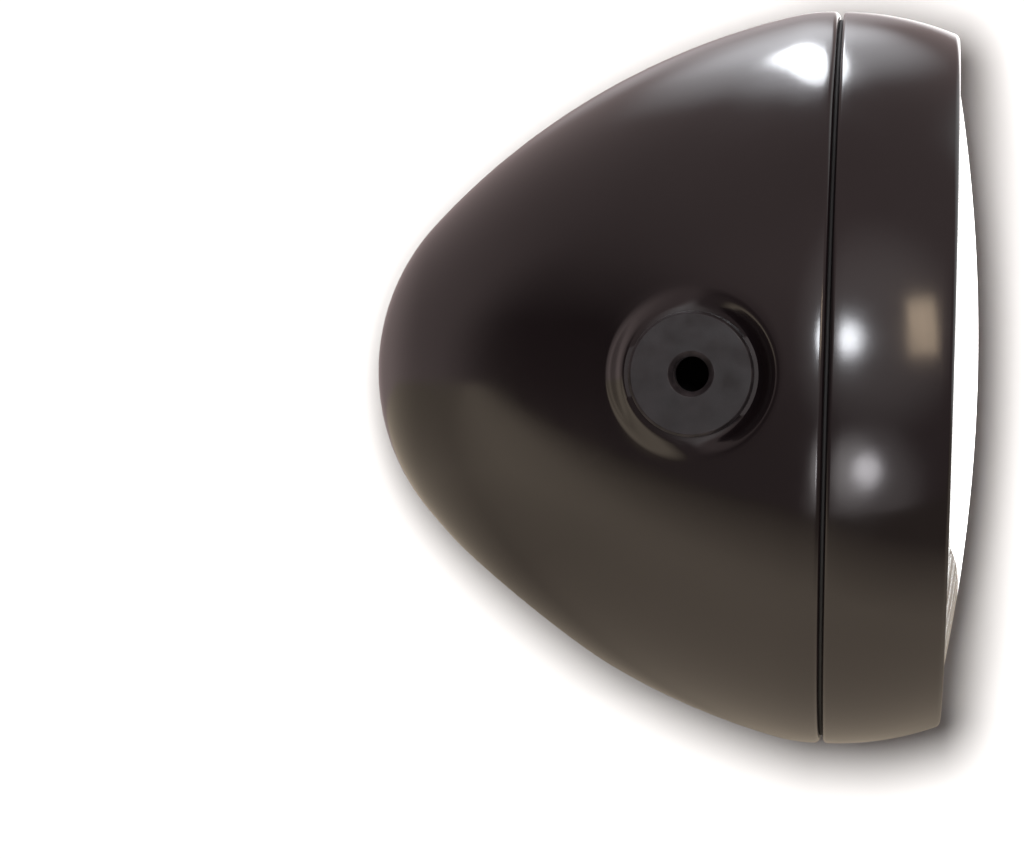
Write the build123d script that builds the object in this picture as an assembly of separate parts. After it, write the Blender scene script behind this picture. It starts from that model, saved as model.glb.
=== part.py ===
from build123d import *
import math
import os

# Round headlight, in millimetres and degrees. The lamp's axis is X and points forward, Z is up,
# and the origin is where that axis meets the axis of the two side mounts.

# Overall
SEAM_DIAMETER = 190.0           # over shell and rim where they meet
SHELL_DEPTH = 118.8             # from the seam back to the tip of the nose
SEAM_TO_MOUNT = 32.6            # from the seam back to the side mounts

# Shell
SHELL_WALL = 1.0
SHOULDER_RADIUS = 40.0          # profile just behind the seam
SHOULDER_ANGLE = 14.2           # turn of that arc
NOSE_RADIUS = 56.3              # round rear end of the profile
SHELL_EDGE_RADIUS = 1.6         # outside of the bend at the front edge
SHELL_FLANGE = 9.5              # turned-in front flange, from the seam diameter inwards

# Pressed seats at the sides
SEAT_RING = 1.3                 # flat ring that shows round the insert
SEAT_EDGE_RADIUS = 1.6
SEAT_FLANK_ANGLE = 58.0

# Side mount inserts
INSERT_FLANGE_DIAMETER = 30.4
INSERT_FLANGE_THICKNESS = 2.0
INSERT_SPIGOT_DIAMETER = 18.0
INSERT_LENGTH = 14.0            # from the outer face to the inner end
INSERT_CLEARANCE = 0.1          # spigot in the shell's hole
INSERT_EDGE = 0.6               # chamfer round the flange
THREAD_DIAMETER = 8.6           # wall of the threaded hole
THREAD_CHAMFER = 1.2

# Seal between shell and rim
SEAL_THICKNESS = 0.8
SEAL_WIDTH = 4.0
SEAL_RECESS = 2.0               # from the outside of the seam in to the seal

# Rim
RIM_WALL = 1.0
RIM_DEPTH = 30.4                # from the seam forward to the front face
RIM_CROWN_RADIUS = 77.0
RIM_REAR_RADIUS = 1.2
RIM_FRONT_RADIUS = 2.0
RIM_HEM_RADIUS = 1.5            # rolled edge round the lens
RIM_LENS_GAP = 0.8

# Lens
LENS_CURVE = 422.0
LENS_WALL = 4.0
LENS_SHOULDER = 3.0
LENS_SKIRT = 1.2                # straight side between flange and shoulder
LENS_FLANGE_WIDTH = 7.4
LENS_FLANGE_THICKNESS = 3.2
LENS_CUP_GAP = 0.4              # between the lens and the reflector's cup
FLUTE_PITCH = 10.0
FLUTE_DEPTH = 0.8
BAND_HEIGHT = 42.7              # of the panels of flutes
GASKET_THICKNESS = 3.0
GASKET_WIDTH = 3.6

# Reflector
REFLECTOR_WALL = 1.0
FOCAL_LENGTH = 27.5
MOUTH_STEP = 0.9                # mouth of the bowl outside the lens's inner wall
CUP_CLEARANCE = 2.2             # between the cup and the inside of the rim
CUP_SETBACK = 0.5               # of the cup's edge behind the lens flange's front
LENS_SEAL_THICKNESS = 1.4
BULB_SEAT_DIAMETER = 72.0

# Clips that hold the light unit in the rim
CLIP_ANGLES = (0.0, 55.0, 125.0, 180.0, 235.0, 305.0)
CLIP_WALL = 0.8
CLIP_BEND = 2.0
CLIP_SLOPE = 75.0
CLIP_FOOT = 3.5
CLIP_CREST = 3.0
CLIP_VALLEY = 8.0               # depth of the middle fold
CLIP_GRIP = 3.4                 # over the edge of the light unit
CLIP_HOLD = 1.6                 # under the edge of the rim's return
UNIT_PASS_GAP = 0.6             # light unit through the rim's return

# Fastening of the rim
HOOK_WALL = 1.2
HOOK_WIDTH = 14.0
HOOK_BEND = 0.8
HOOK_REACH = 4.0
HOOK_WELD = 6.0                 # length of the tab that is welded on
HOOK_GAP = 0.2
SCREW_FROM_SEAM = 9.0
SCREW_DIAMETER = 5.0
SCREW_HEAD_DIAMETER = 9.6
SCREW_SINK = 0.4                # head below the rim's surface
SCREW_CLEARANCE = 0.15
SCREW_END = 1.0                 # beyond the nut
SCREW_SLOT = 1.2
BRACKET_END = 5.5               # of the bracket beyond the screw
NUT_WIDTH = 8.0
NUT_HEIGHT = 4.0

# Bulb
BULB_LIGHT_CENTRE = 29.0        # seat to focus
BULB_COLLAR_DIAMETER = 38.4
BULB_COLLAR_LENGTH = 3.5
BULB_CLEARANCE = 0.2            # collar in the reflector's neck
BULB_FLANGE_DIAMETER = 43.0
BULB_FLANGE_THICKNESS = 1.2
BULB_LUG_REACH = 3.6
BULB_LUG_WIDTH = 8.0
BULB_LUG_ANGLES = (90.0, 210.0, 330.0)
BULB_BARREL_DIAMETER = 29.0
BULB_BARREL_LENGTH = 10.8
GLASS_DIAMETER = 17.0
GLASS_WALL = 0.9
GLASS_LENGTH = 47.0             # from the seat to the tip
GLASS_SEATING = 8.0             # behind the seat
GLASS_GAP = 0.1
INSULATOR_DIAMETER = 25.0
INSULATOR_LENGTH = 5.0
INSULATOR_PLUG = 3.0
BLADE_WIDTH = 7.8
BLADE_THICKNESS = 0.8
BLADE_LENGTH = 11.0
BLADE_OFFSET = 6.5
BLADE_HOLE = 2.4
LEAD_DIAMETER = 0.9
COIL_DIAMETER = 1.8
COIL_LENGTH = 5.5
COIL_OFFSET = 2.4               # of the two coils along the axis, from the focus
COIL_SPREAD = 2.6               # between a coil's leads and the axis
SHIELD_RADIUS = 4.4
SHIELD_WALL = 0.4
SHIELD_LENGTH = 9.0
SHIELD_ARC = 165.0

# Wire spring and its two holders
SPRING_WIRE = 1.6
SPRING_GAP = 0.05
SPRING_HALF_WIDTH = 17.8
SPRING_REACH = 29.0             # of its ends from the axis
SPRING_SHOULDER = 20.0
SPRING_END = 8.0
SPRING_BEND = 4.0
SPRING_SPLIT = 0.6
HOLDER_WALL = 0.6
HOLDER_BEND = 1.0
HOLDER_FOOT = 2.0
HOLDER_GAP = 0.1
HINGE_WIDTH = 10.0
CATCH_WIDTH = 6.0
CATCH_LIP = 0.6

# Boot
BOOT_WALL = 2.3
BOOT_LIP = 2.0                  # in front of the bulb's seat
BOOT_GRIP = 2.5                 # over the seat's edge
BOOT_STRAIGHT = 5.0             # behind the seat, before the taper
BOOT_COLLAR_LENGTH = 5.0
BOOT_GAP = 0.1
BOOT_BARREL_GAP = 0.8

# Pilot light
PILOT_PLACE = 0.658             # distance from the axis, as a share of the radius of the bowl's mouth
PILOT_HOLE_DIAMETER = 13.0
PILOT_LIP_DIAMETER = 16.0
PILOT_LIP_FRONT = 1.2
PILOT_LIP_REAR = 3.0
PILOT_BODY_LENGTH = 13.0
PILOT_BULB_DIAMETER = 8.6
PILOT_BULB_LENGTH = 14.0        # in front of the reflector
PILOT_BULB_SEATING = 8.0        # inside the holder
PILOT_BULB_WALL = 0.7
PILOT_GAP = 0.1

# Cable entry
ENTRY_ANGLE = 37.0              # of its axis, from straight down towards the rear
ENTRY_HOLE_DIAMETER = 18.0
ENTRY_FLAT_DEPTH = 1.8          # broad flat round the entry, below the round of the shell
ENTRY_SINK = 0.2                # grommet's face below that flat
ENTRY_RING = 0.8                # of the recess that shows round the grommet
ENTRY_EDGE_RADIUS = 1.0
ENTRY_FLANK_ANGLE = 60.0
GROMMET_DIAMETER = 24.0
GROMMET_LIP = 1.4
GROMMET_INNER_LIP = 2.0
GROMMET_GAP = 0.1
CABLE_HOLE_DIAMETER = 8.0

# Places along the axis
SEAM_X = SEAM_TO_MOUNT
SEAM_R = SEAM_DIAMETER / 2
SHELL_FRONT_X = SEAM_X - SEAL_THICKNESS / 2
FLANGE_BACK_X = SHELL_FRONT_X - SHELL_WALL
SHELL_OPEN_R = SEAM_R - SHELL_FLANGE
RIM_REAR_X = SEAM_X + SEAL_THICKNESS / 2
RETURN_FRONT_X = RIM_REAR_X + RIM_WALL
CROWN_X = RIM_REAR_X + RIM_REAR_RADIUS
RIM_FRONT_X = SEAM_X + RIM_DEPTH
LIP_BACK_X = RIM_FRONT_X - RIM_WALL
LENS_FRONT_X = LIP_BACK_X - GASKET_THICKNESS
LENS_BACK_X = LENS_FRONT_X - LENS_FLANGE_THICKNESS
MOUTH_X = LENS_BACK_X - LENS_SEAL_THICKNESS
UNIT_BACK_X = MOUTH_X - REFLECTOR_WALL


def crown_radius(x, depth=0.0):
    """Radius of the rim's crown at x, or of the surface that lies depth below it."""
    return SEAM_R - RIM_CROWN_RADIUS + math.sqrt((RIM_CROWN_RADIUS - depth) ** 2 - (x - CROWN_X) ** 2)


# Radii of the light unit, from the rim inwards
CUP_EDGE_X = LENS_FRONT_X - CUP_SETBACK
CUP_R = crown_radius(CUP_EDGE_X, RIM_WALL) - CUP_CLEARANCE
CUP_INNER_R = CUP_R - REFLECTOR_WALL
LENS_R = CUP_INNER_R - LENS_CUP_GAP
SKIRT_R = LENS_R - LENS_FLANGE_WIDTH
LENS_INNER_R = SKIRT_R - LENS_WALL
MOUTH_R = LENS_INNER_R + MOUTH_STEP
RIM_OPEN_R = SKIRT_R + RIM_LENS_GAP
RETURN_R = CUP_R + UNIT_PASS_GAP

# Lens dome: half angle of its arc, and its centre on the axis
DOME_ANGLE = math.asin((SKIRT_R - LENS_SHOULDER) / (LENS_CURVE - LENS_SHOULDER))
SHOULDER_X = LENS_FRONT_X + LENS_SKIRT
DOME_CENTRE_X = SHOULDER_X - (LENS_CURVE - LENS_SHOULDER) * math.cos(DOME_ANGLE)
DOME_INNER = LENS_CURVE - LENS_WALL

# Reflector: vertex of the parabola, and the seat of the bulb
VERTEX_X = MOUTH_X - MOUTH_R ** 2 / (4 * FOCAL_LENGTH)
FOCUS_X = VERTEX_X + FOCAL_LENGTH
BULB_X = FOCUS_X - BULB_LIGHT_CENTRE
NECK_R = BULB_COLLAR_DIAMETER / 2 + BULB_CLEARANCE
BULB_SEAT_R = BULB_SEAT_DIAMETER / 2


def bowl_x(radius):
    """Place along the axis where the reflecting face has this radius."""
    return VERTEX_X + radius ** 2 / (4 * FOCAL_LENGTH)


# Shell profile, measured back from where the shoulder arc starts: shoulder, body and nose are tangent
# arcs, and the body's radius is the one that meets both of the others.
SHOULDER_START_X = SHELL_FRONT_X - SHELL_EDGE_RADIUS
NOSE_X = SEAM_X - SHELL_DEPTH
PROFILE_DEPTH = SHOULDER_START_X - NOSE_X
SHOULDER_TURN = math.radians(SHOULDER_ANGLE)
BODY_START = Vector(SHOULDER_RADIUS * math.sin(SHOULDER_TURN),
                    SEAM_R - SHOULDER_RADIUS * (1 - math.cos(SHOULDER_TURN)))
BODY_INWARD = Vector(-math.sin(SHOULDER_TURN), -math.cos(SHOULDER_TURN))
NOSE_CENTRE = Vector(PROFILE_DEPTH - NOSE_RADIUS, 0)
TO_BODY = BODY_START - NOSE_CENTRE
BODY_RADIUS = (NOSE_RADIUS ** 2 - TO_BODY.dot(TO_BODY)) / (2 * (TO_BODY.dot(BODY_INWARD) + NOSE_RADIUS))
BODY_CENTRE = BODY_START + BODY_INWARD * BODY_RADIUS
BODY_END_ANGLE = math.degrees(math.atan2(NOSE_CENTRE.X - BODY_CENTRE.X, NOSE_CENTRE.Y - BODY_CENTRE.Y))


def body_point(angle):
    """Point (x, radius) on the shell's body arc whose normal leans back by this angle."""
    turn = math.radians(angle)
    back = BODY_CENTRE.X + BODY_RADIUS * math.sin(turn)
    return SHOULDER_START_X - back, BODY_CENTRE.Y + BODY_RADIUS * math.cos(turn)


def body_radius(x):
    """Radius of the shell's body arc at x."""
    back = SHOULDER_START_X - x - BODY_CENTRE.X
    return BODY_CENTRE.Y + math.sqrt(BODY_RADIUS ** 2 - back ** 2)


# Side seats: the flat is level with the shell straight above and below the mount
SEAT_FLAT_R = INSERT_FLANGE_DIAMETER / 2 + SEAT_RING
SEAT_Y = math.sqrt(body_radius(0) ** 2 - SEAT_FLAT_R ** 2)
SEAT_DROP = SEAT_Y - body_radius(-2 * SEAT_FLAT_R)      # down to well below the surface behind the seat
SEAT_RISE = 2 * (SEAM_R - SEAT_Y)                       # up to well above the surface in front of it
LEG_R = math.sqrt(SHELL_OPEN_R ** 2 - (HOOK_WIDTH / 2) ** 2) - HOOK_GAP - HOOK_BEND


def heading_vector(heading):
    return Vector(math.cos(math.radians(heading)), math.sin(math.radians(heading)))


def run(start, heading, *moves, inset=0.0):
    """Edges of a smooth path. A move is a straight length, or (radius, turn) with left turns positive.
    The whole path lies inset to the left of the one that the moves give."""
    edges = []
    point = Vector(*start) + heading_vector(heading + 90) * inset
    for move in moves:
        if isinstance(move, tuple):
            radius, turn = move
            edge = JernArc(point, heading_vector(heading), radius - inset * math.copysign(1, turn), turn)
            heading += turn
        else:
            edge = Line(point, point + heading_vector(heading) * move)
        edges.append(edge)
        point = edge @ 1
    return edges


def sheet(start, heading, *moves, wall):
    """Section of a bent sheet: the path and its copy, wall to the left, closed at both ends."""
    near = run(start, heading, *moves)
    far = run(start, heading, *moves, inset=wall)
    caps = [Line(near[0] @ 0, far[0] @ 0), Line(near[-1] @ 1, far[-1] @ 1)]
    return make_face(near + far + caps)


def spun(face):
    return revolve(face, axis=Axis.X)


def spun_points(*points):
    """Solid of revolution about X of a closed polygon of (x, radius) points."""
    return spun(make_face(Polyline(*points, close=True)))


def filled(edges, *corners):
    """Solid of revolution between a path and the axis, closed over the given corner points."""
    points = [edges[-1] @ 1, *corners, edges[0] @ 0]
    return spun(make_face(edges + [Line(a, b) for a, b in zip(points, points[1:]) if (a - b).length > 1e-6]))


def at_angle(angle, radius, x=0.0):
    """Plane on the cylinder of this radius: local X runs round it, Y forward and Z outward."""
    turn = math.radians(angle)
    outward = Vector(0, math.cos(turn), math.sin(turn))
    return Plane(origin=Vector(x, 0, 0) + outward * radius, x_dir=(0, -math.sin(turn), math.cos(turn)),
                 z_dir=outward)


def across(angle):
    """Plane for bent strips: local X is the lamp's axis, Y points outward at this angle."""
    turn = math.radians(angle)
    return Plane(origin=(0, 0, 0), x_dir=(1, 0, 0), z_dir=(0, math.sin(turn), -math.cos(turn)))


# Shell


def raised(flat, edge_radius, slope, drop, inset):
    """Plug with a flat top at the origin, facing +X, and flanks that run down to drop below it."""
    turn = math.radians(slope)
    length = (drop - edge_radius * (1 - math.cos(turn))) / math.sin(turn)
    edges = run((0, 0), 90, flat, (edge_radius, slope), length, inset=inset)
    end = edges[-1] @ 1
    return filled(edges, Vector(end.X, 0))


def sunk(flat, edge_radius, slope, rise, inset):
    """Cutter with a flat floor at the origin, facing +X, and walls that run up to rise above it."""
    turn = math.radians(slope)
    length = (rise - edge_radius * (1 - math.cos(turn))) / math.sin(turn)
    edges = run((0, 0), 90, flat, (edge_radius, -slope), length, inset=inset)
    end = edges[-1] @ 1
    return filled(edges, Vector(end.X, 0))


SIDES = {"left": Pos(0, SEAT_Y, 0) * Rot(0, 0, 90), "right": Pos(0, -SEAT_Y, 0) * Rot(0, 0, -90)}

ENTRY_X, ENTRY_R = body_point(ENTRY_ANGLE)
ENTRY_RECESS_R = GROMMET_DIAMETER / 2 + ENTRY_RING
ENTRY_RECESS = GROMMET_LIP + ENTRY_SINK
ENTRY_FLAT = Pos(ENTRY_X, 0, -ENTRY_R) * Rot(0, 90 + ENTRY_ANGLE, 0) * Pos(-ENTRY_FLAT_DEPTH, 0, 0)
ENTRY = ENTRY_FLAT * Pos(-ENTRY_RECESS, 0, 0)


def shell_body(inset):
    """The shell's outline as a full solid, inset from its outer surface, with its pressed seats."""
    edges = run((SHELL_FRONT_X, SHELL_OPEN_R), 90, SHELL_FLANGE - SHELL_EDGE_RADIUS, (SHELL_EDGE_RADIUS, 90),
                (SHOULDER_RADIUS, SHOULDER_ANGLE), (BODY_RADIUS, BODY_END_ANGLE - SHOULDER_ANGLE),
                (NOSE_RADIUS, 90 - BODY_END_ANGLE), inset=inset)
    start = edges[0] @ 0
    body = filled(edges, Vector(start.X, 0))
    for side in SIDES.values():
        body += side * raised(SEAT_FLAT_R, SEAT_EDGE_RADIUS, SEAT_FLANK_ANGLE, SEAT_DROP, inset)
    for side in SIDES.values():
        body -= side * sunk(SEAT_FLAT_R, SEAT_EDGE_RADIUS, SEAT_FLANK_ANGLE, SEAT_RISE, inset)
    body -= ENTRY_FLAT * Pos(SHELL_DEPTH / 2 - inset, 0, 0) * Box(SHELL_DEPTH, SHELL_DEPTH, SHELL_DEPTH)
    return body - ENTRY * sunk(ENTRY_RECESS_R, ENTRY_EDGE_RADIUS, ENTRY_FLANK_ANGLE, 2 * ENTRY_RECESS, inset)


def drilled(radius, depth):
    """Cylinder along X through the origin, depth to each side."""
    return Rot(0, 90, 0) * Cylinder(radius, 2 * depth)


def shell():
    body = shell_body(0) - shell_body(SHELL_WALL)
    body -= Pos(SHELL_FRONT_X, 0, 0) * drilled(SHELL_OPEN_R, 2 * SHELL_WALL)
    for side in SIDES.values():
        body -= side * drilled(INSERT_SPIGOT_DIAMETER / 2 + INSERT_CLEARANCE, 3 * SHELL_WALL)
    return body - ENTRY * drilled(ENTRY_HOLE_DIAMETER / 2, 3 * SHELL_WALL)


def mount_insert(side):
    """Turned bush: flange on the seat, spigot through the shell, threaded hole with a chamfered mouth."""
    flange = INSERT_FLANGE_DIAMETER / 2
    spigot = INSERT_SPIGOT_DIAMETER / 2
    bore = THREAD_DIAMETER / 2
    face = INSERT_FLANGE_THICKNESS
    back = face - INSERT_LENGTH
    return side * spun_points((face - THREAD_CHAMFER, bore), (face, bore + THREAD_CHAMFER),
                              (face, flange - INSERT_EDGE), (face - INSERT_EDGE, flange), (0, flange),
                              (0, spigot), (back, spigot), (back, bore))


def cable_grommet():
    """Rubber ring with a lip on each face of the shell."""
    lip = GROMMET_DIAMETER / 2
    neck = ENTRY_HOLE_DIAMETER / 2 - GROMMET_GAP
    bore = CABLE_HOLE_DIAMETER / 2
    inside = -SHELL_WALL
    back = inside - GROMMET_INNER_LIP
    half = GROMMET_LIP / 2
    return ENTRY * spun_points((GROMMET_LIP, bore), (GROMMET_LIP, lip - half), (half, lip), (0, lip),
                               (0, neck), (inside, neck), (inside, lip), (back, lip), (back, bore))


# Rim and its fastening


def rim_path(inset=0.0):
    """The rim's sheet from the inner edge of its rear return to the rolled edge round the lens."""
    turn = math.asin((RIM_FRONT_X - RIM_FRONT_RADIUS - CROWN_X) / (RIM_CROWN_RADIUS - RIM_FRONT_RADIUS))
    front_r = SEAM_R - RIM_CROWN_RADIUS + (RIM_CROWN_RADIUS - RIM_FRONT_RADIUS) * math.cos(turn)
    crown = math.degrees(turn)
    return run((RIM_REAR_X, RETURN_R), 90, SEAM_R - RIM_REAR_RADIUS - RETURN_R, (RIM_REAR_RADIUS, -90),
               (RIM_CROWN_RADIUS, -crown), (RIM_FRONT_RADIUS, crown - 90),
               front_r - RIM_OPEN_R - RIM_HEM_RADIUS, (RIM_HEM_RADIUS, -90), inset=inset)


SCREW_X = SEAM_X + SCREW_FROM_SEAM
SCREW_TOP_R = crown_radius(SCREW_X) - SCREW_SINK
SCREW_R = SCREW_DIAMETER / 2
HEAD_R = SCREW_HEAD_DIAMETER / 2
HEAD_HEIGHT = HEAD_R - SCREW_R
NUT_TOP_R = LEG_R - HOOK_WALL
SCREW = Pos(SCREW_X, 0, -SCREW_TOP_R) * Rot(0, 90, 0)


def rim():
    """Bent ring, with a countersunk dimple for the screw at the bottom."""
    outside = rim_path()
    inside = rim_path(-RIM_WALL)
    caps = [Line(outside[0] @ 0, inside[0] @ 0), Line(outside[-1] @ 1, inside[-1] @ 1)]
    ring = spun(make_face(outside + inside + caps))
    envelope = filled(outside, Vector((outside[-1] @ 1).X, 0), Vector(RIM_REAR_X, 0))
    room = SCREW_CLEARANCE
    top = SCREW_SINK + RIM_WALL
    cup_wall = RIM_WALL * math.sqrt(2)
    cup = SCREW * spun_points((0, 0), (0, HEAD_R + room + cup_wall),
                              (-HEAD_HEIGHT, SCREW_R + room + cup_wall), (-HEAD_HEIGHT, 0))
    sink = SCREW * spun_points((top, 0), (top, HEAD_R + room + top), (-HEAD_HEIGHT, SCREW_R + room),
                               (-HEAD_HEIGHT - top, SCREW_R + room), (-HEAD_HEIGHT - top, 0))
    return ring + (cup & envelope) - sink


def rim_seal():
    outer = SEAM_R - SEAL_RECESS
    return spun_points((SHELL_FRONT_X, outer - SEAL_WIDTH), (SHELL_FRONT_X, outer), (RIM_REAR_X, outer),
                       (RIM_REAR_X, outer - SEAL_WIDTH))


def rim_hook():
    """Tongue welded inside the rim at the top, hooked behind the shell's flange."""
    upright_x = FLANGE_BACK_X - HOOK_GAP
    section = sheet((RETURN_FRONT_X, LEG_R + HOOK_BEND + HOOK_WELD), 270, HOOK_WELD, (HOOK_BEND, -90),
                    RETURN_FRONT_X - upright_x - 2 * HOOK_BEND, (HOOK_BEND, -90), HOOK_REACH, wall=HOOK_WALL)
    return extrude(across(90) * section, HOOK_WIDTH / 2, both=True)


def clamp_bracket():
    """Angle welded behind the shell's flange at the bottom, with its leg under the rim."""
    near = (FLANGE_BACK_X, LEG_R + HOOK_BEND + HOOK_WELD)
    moves = (HOOK_WELD, (HOOK_BEND, 90), SCREW_X + BRACKET_END - FLANGE_BACK_X - HOOK_BEND)
    section = sheet(near, 270, *moves, wall=-HOOK_WALL)
    leg = extrude(across(-90) * section, HOOK_WIDTH / 2, both=True)
    return leg - SCREW * drilled(SCREW_R + SCREW_CLEARANCE, SCREW_TOP_R - NUT_TOP_R + HOOK_WALL)


def clamp_nut():
    height = at_angle(-90, NUT_TOP_R, SCREW_X)
    hexagon = RegularPolygon(NUT_WIDTH / 2, 6, major_radius=False) - Circle(SCREW_R + SCREW_CLEARANCE)
    return extrude(height * hexagon, -NUT_HEIGHT)


def rim_screw():
    """Countersunk screw with a slotted head."""
    end = SCREW_TOP_R - NUT_TOP_R + NUT_HEIGHT + SCREW_END
    body = spun_points((0, 0), (0, HEAD_R), (-HEAD_HEIGHT, SCREW_R), (-end, SCREW_R), (-end, 0))
    slot = Box(HEAD_HEIGHT, 2 * HEAD_R, SCREW_SLOT)
    return SCREW * (body - slot)


def unit_clip(angle):
    """Folded spring strip: its feet under the rim's return, its two crests on the back of the light unit."""
    turn = math.radians(CLIP_SLOPE)
    bends = 2 * CLIP_BEND * (1 - math.cos(turn))
    height = UNIT_BACK_X - RETURN_FRONT_X - CLIP_WALL
    leg = (height - bends) / math.sin(turn)
    fold = (CLIP_VALLEY - bends) / math.sin(turn)
    half_width = (CLIP_FOOT + CLIP_CREST + 4 * CLIP_BEND * math.sin(turn)
                  + (leg + fold) * math.cos(turn))
    up = (CLIP_BEND, CLIP_SLOPE)
    down = (CLIP_BEND, -CLIP_SLOPE)
    valley = (CLIP_BEND, 2 * CLIP_SLOPE)
    section = sheet((-half_width, 0), 0, CLIP_FOOT, up, leg, down, CLIP_CREST, down, fold, valley, fold,
                    down, CLIP_CREST, down, leg, up, CLIP_FOOT, wall=CLIP_WALL)
    inner = CUP_R - CLIP_GRIP
    return extrude(at_angle(angle, inner, RETURN_FRONT_X) * section, RETURN_R + CLIP_HOLD - inner)


# Lens and reflector


def flute_cutter(shift):
    """Face whose front edge is a row of shallow arcs along the inside of the dome."""
    count = 2 * math.ceil(LENS_INNER_R / FLUTE_PITCH) + 2
    first = (shift - count / 2) * FLUTE_PITCH
    heights = [first + step * FLUTE_PITCH for step in range(count + 1)]
    cusps = [Vector(DOME_CENTRE_X + math.sqrt(DOME_INNER ** 2 - y ** 2), y) for y in heights]
    arcs = [SagittaArc(a, b, -FLUTE_DEPTH) for a, b in zip(cusps, cusps[1:])]
    back_x = LENS_BACK_X - LENS_WALL
    back = Polyline(cusps[-1], (back_x, heights[-1]), (back_x, heights[0]), cusps[0])
    return make_face(arcs + back.edges())


def lens_cavity():
    """Inside of the lens: level bands of flutes, each band half a pitch out of step with the next."""
    swing = Axis((DOME_CENTRE_X, 0, 0), (0, 1, 0))
    rows = math.ceil(LENS_INNER_R / BAND_HEIGHT)
    bands = []
    for row in range(-rows, rows):
        lower, upper = (math.degrees(math.asin(edge * BAND_HEIGHT / DOME_INNER)) for edge in (row, row + 1))
        band = revolve(flute_cutter(row % 2 / 2), axis=swing, revolution_arc=upper - lower)
        bands.append(band.rotate(swing, lower))
    core = Pos(LENS_BACK_X, 0, 0) * drilled(LENS_INNER_R, 2 * LENS_INNER_R)
    return [band & core for band in bands]


def lens():
    """Domed glass with a short skirt and a flange, fluted inside."""
    dome = math.degrees(DOME_ANGLE)
    outside = run((DOME_CENTRE_X + LENS_CURVE, 0), 90, (LENS_CURVE, dome), (LENS_SHOULDER, 90 - dome),
                  LENS_SKIRT)
    glass = filled(outside, Vector(LENS_FRONT_X, LENS_R), Vector(LENS_BACK_X, LENS_R),
                   Vector(LENS_BACK_X, 0))
    for band in lens_cavity():
        glass -= band
    return glass


def lens_gasket():
    inner = RIM_OPEN_R + RIM_HEM_RADIUS
    return spun_points((LENS_FRONT_X, inner), (LENS_FRONT_X, inner + GASKET_WIDTH),
                       (LIP_BACK_X, inner + GASKET_WIDTH), (LIP_BACK_X, inner))


def lens_seal():
    return spun_points((MOUTH_X, MOUTH_R), (MOUTH_X, LENS_R), (LENS_BACK_X, LENS_R), (LENS_BACK_X, MOUTH_R))


def parabola(inner, outer, back):
    """The bowl's curve between two radii, moved back along the axis."""
    ends = [Vector(bowl_x(radius) - back, radius) for radius in (inner, outer)]
    pull = Vector(VERTEX_X - back + inner * outer / (4 * FOCAL_LENGTH), (inner + outer) / 2)
    return Bezier(ends[0], pull, ends[1])


PILOT_RADIUS = PILOT_PLACE * MOUTH_R
PILOT_LEAN = math.degrees(math.atan2(2 * FOCAL_LENGTH, PILOT_RADIUS))
PILOT = Pos(bowl_x(PILOT_RADIUS), 0, -PILOT_RADIUS) * Rot(0, 180 - PILOT_LEAN, 0)


def reflector():
    """Parabolic bowl with a neck and seat for the bulb, a cup for the lens and a hole for the pilot."""
    neck_out = NECK_R + REFLECTOR_WALL
    front = parabola(NECK_R, MOUTH_R, 0)
    back = parabola(neck_out, MOUTH_R, REFLECTOR_WALL)
    seat_front = BULB_X + REFLECTOR_WALL
    cup = Polyline(front @ 1, (MOUTH_X, CUP_INNER_R), (CUP_EDGE_X, CUP_INNER_R), (CUP_EDGE_X, CUP_R),
                   (UNIT_BACK_X, CUP_R), back @ 1)
    neck = Polyline(back @ 0, (seat_front, neck_out), (seat_front, BULB_SEAT_R), (BULB_X, BULB_SEAT_R),
                    (BULB_X, NECK_R), front @ 0)
    bowl = spun(make_face([front, back] + cup.edges() + neck.edges()))
    return bowl - PILOT * drilled(PILOT_HOLE_DIAMETER / 2, PILOT_LIP_DIAMETER)


# Main bulb, drawn with its seat at the origin


BULB = Pos(BULB_X, 0, 0)
BULB_BACK = -BULB_FLANGE_THICKNESS - BULB_BARREL_LENGTH
INSULATOR_BACK = BULB_BACK - INSULATOR_LENGTH
PLUG_FRONT = BULB_BACK + INSULATOR_PLUG


def bulb_base():
    """Metal collar with three lugs."""
    collar = BULB_COLLAR_DIAMETER / 2
    flange = BULB_FLANGE_DIAMETER / 2
    barrel = BULB_BARREL_DIAMETER / 2
    bore = GLASS_DIAMETER / 2 + GLASS_GAP
    flange_back = -BULB_FLANGE_THICKNESS
    body = spun_points((BULB_COLLAR_LENGTH, bore), (BULB_COLLAR_LENGTH, collar), (0, collar), (0, flange),
                       (flange_back, flange), (flange_back, barrel), (BULB_BACK, barrel), (BULB_BACK, bore))
    lug = Pos(flange_back / 2, (collar + flange + BULB_LUG_REACH) / 2, 0)
    lug *= Box(BULB_FLANGE_THICKNESS, flange + BULB_LUG_REACH - collar, BULB_LUG_WIDTH)
    for angle in BULB_LUG_ANGLES:
        body += Rot(angle, 0, 0) * lug
    return BULB * body


def capsule(radius, wall, start, tip):
    """Thin tube along X with a round closed tip and an open end."""
    straight = tip - radius - start
    return spun(sheet((start, radius), 0, straight, (radius, -90), wall=-wall))


def bulb_glass():
    return BULB * capsule(GLASS_DIAMETER / 2, GLASS_WALL, -GLASS_SEATING, GLASS_LENGTH)


def bulb_insulator():
    plug = GLASS_DIAMETER / 2
    rear = INSULATOR_DIAMETER / 2
    return BULB * spun_points((PLUG_FRONT, 0), (PLUG_FRONT, plug), (BULB_BACK, plug), (BULB_BACK, rear),
                              (INSULATOR_BACK, rear), (INSULATOR_BACK, 0))


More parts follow.
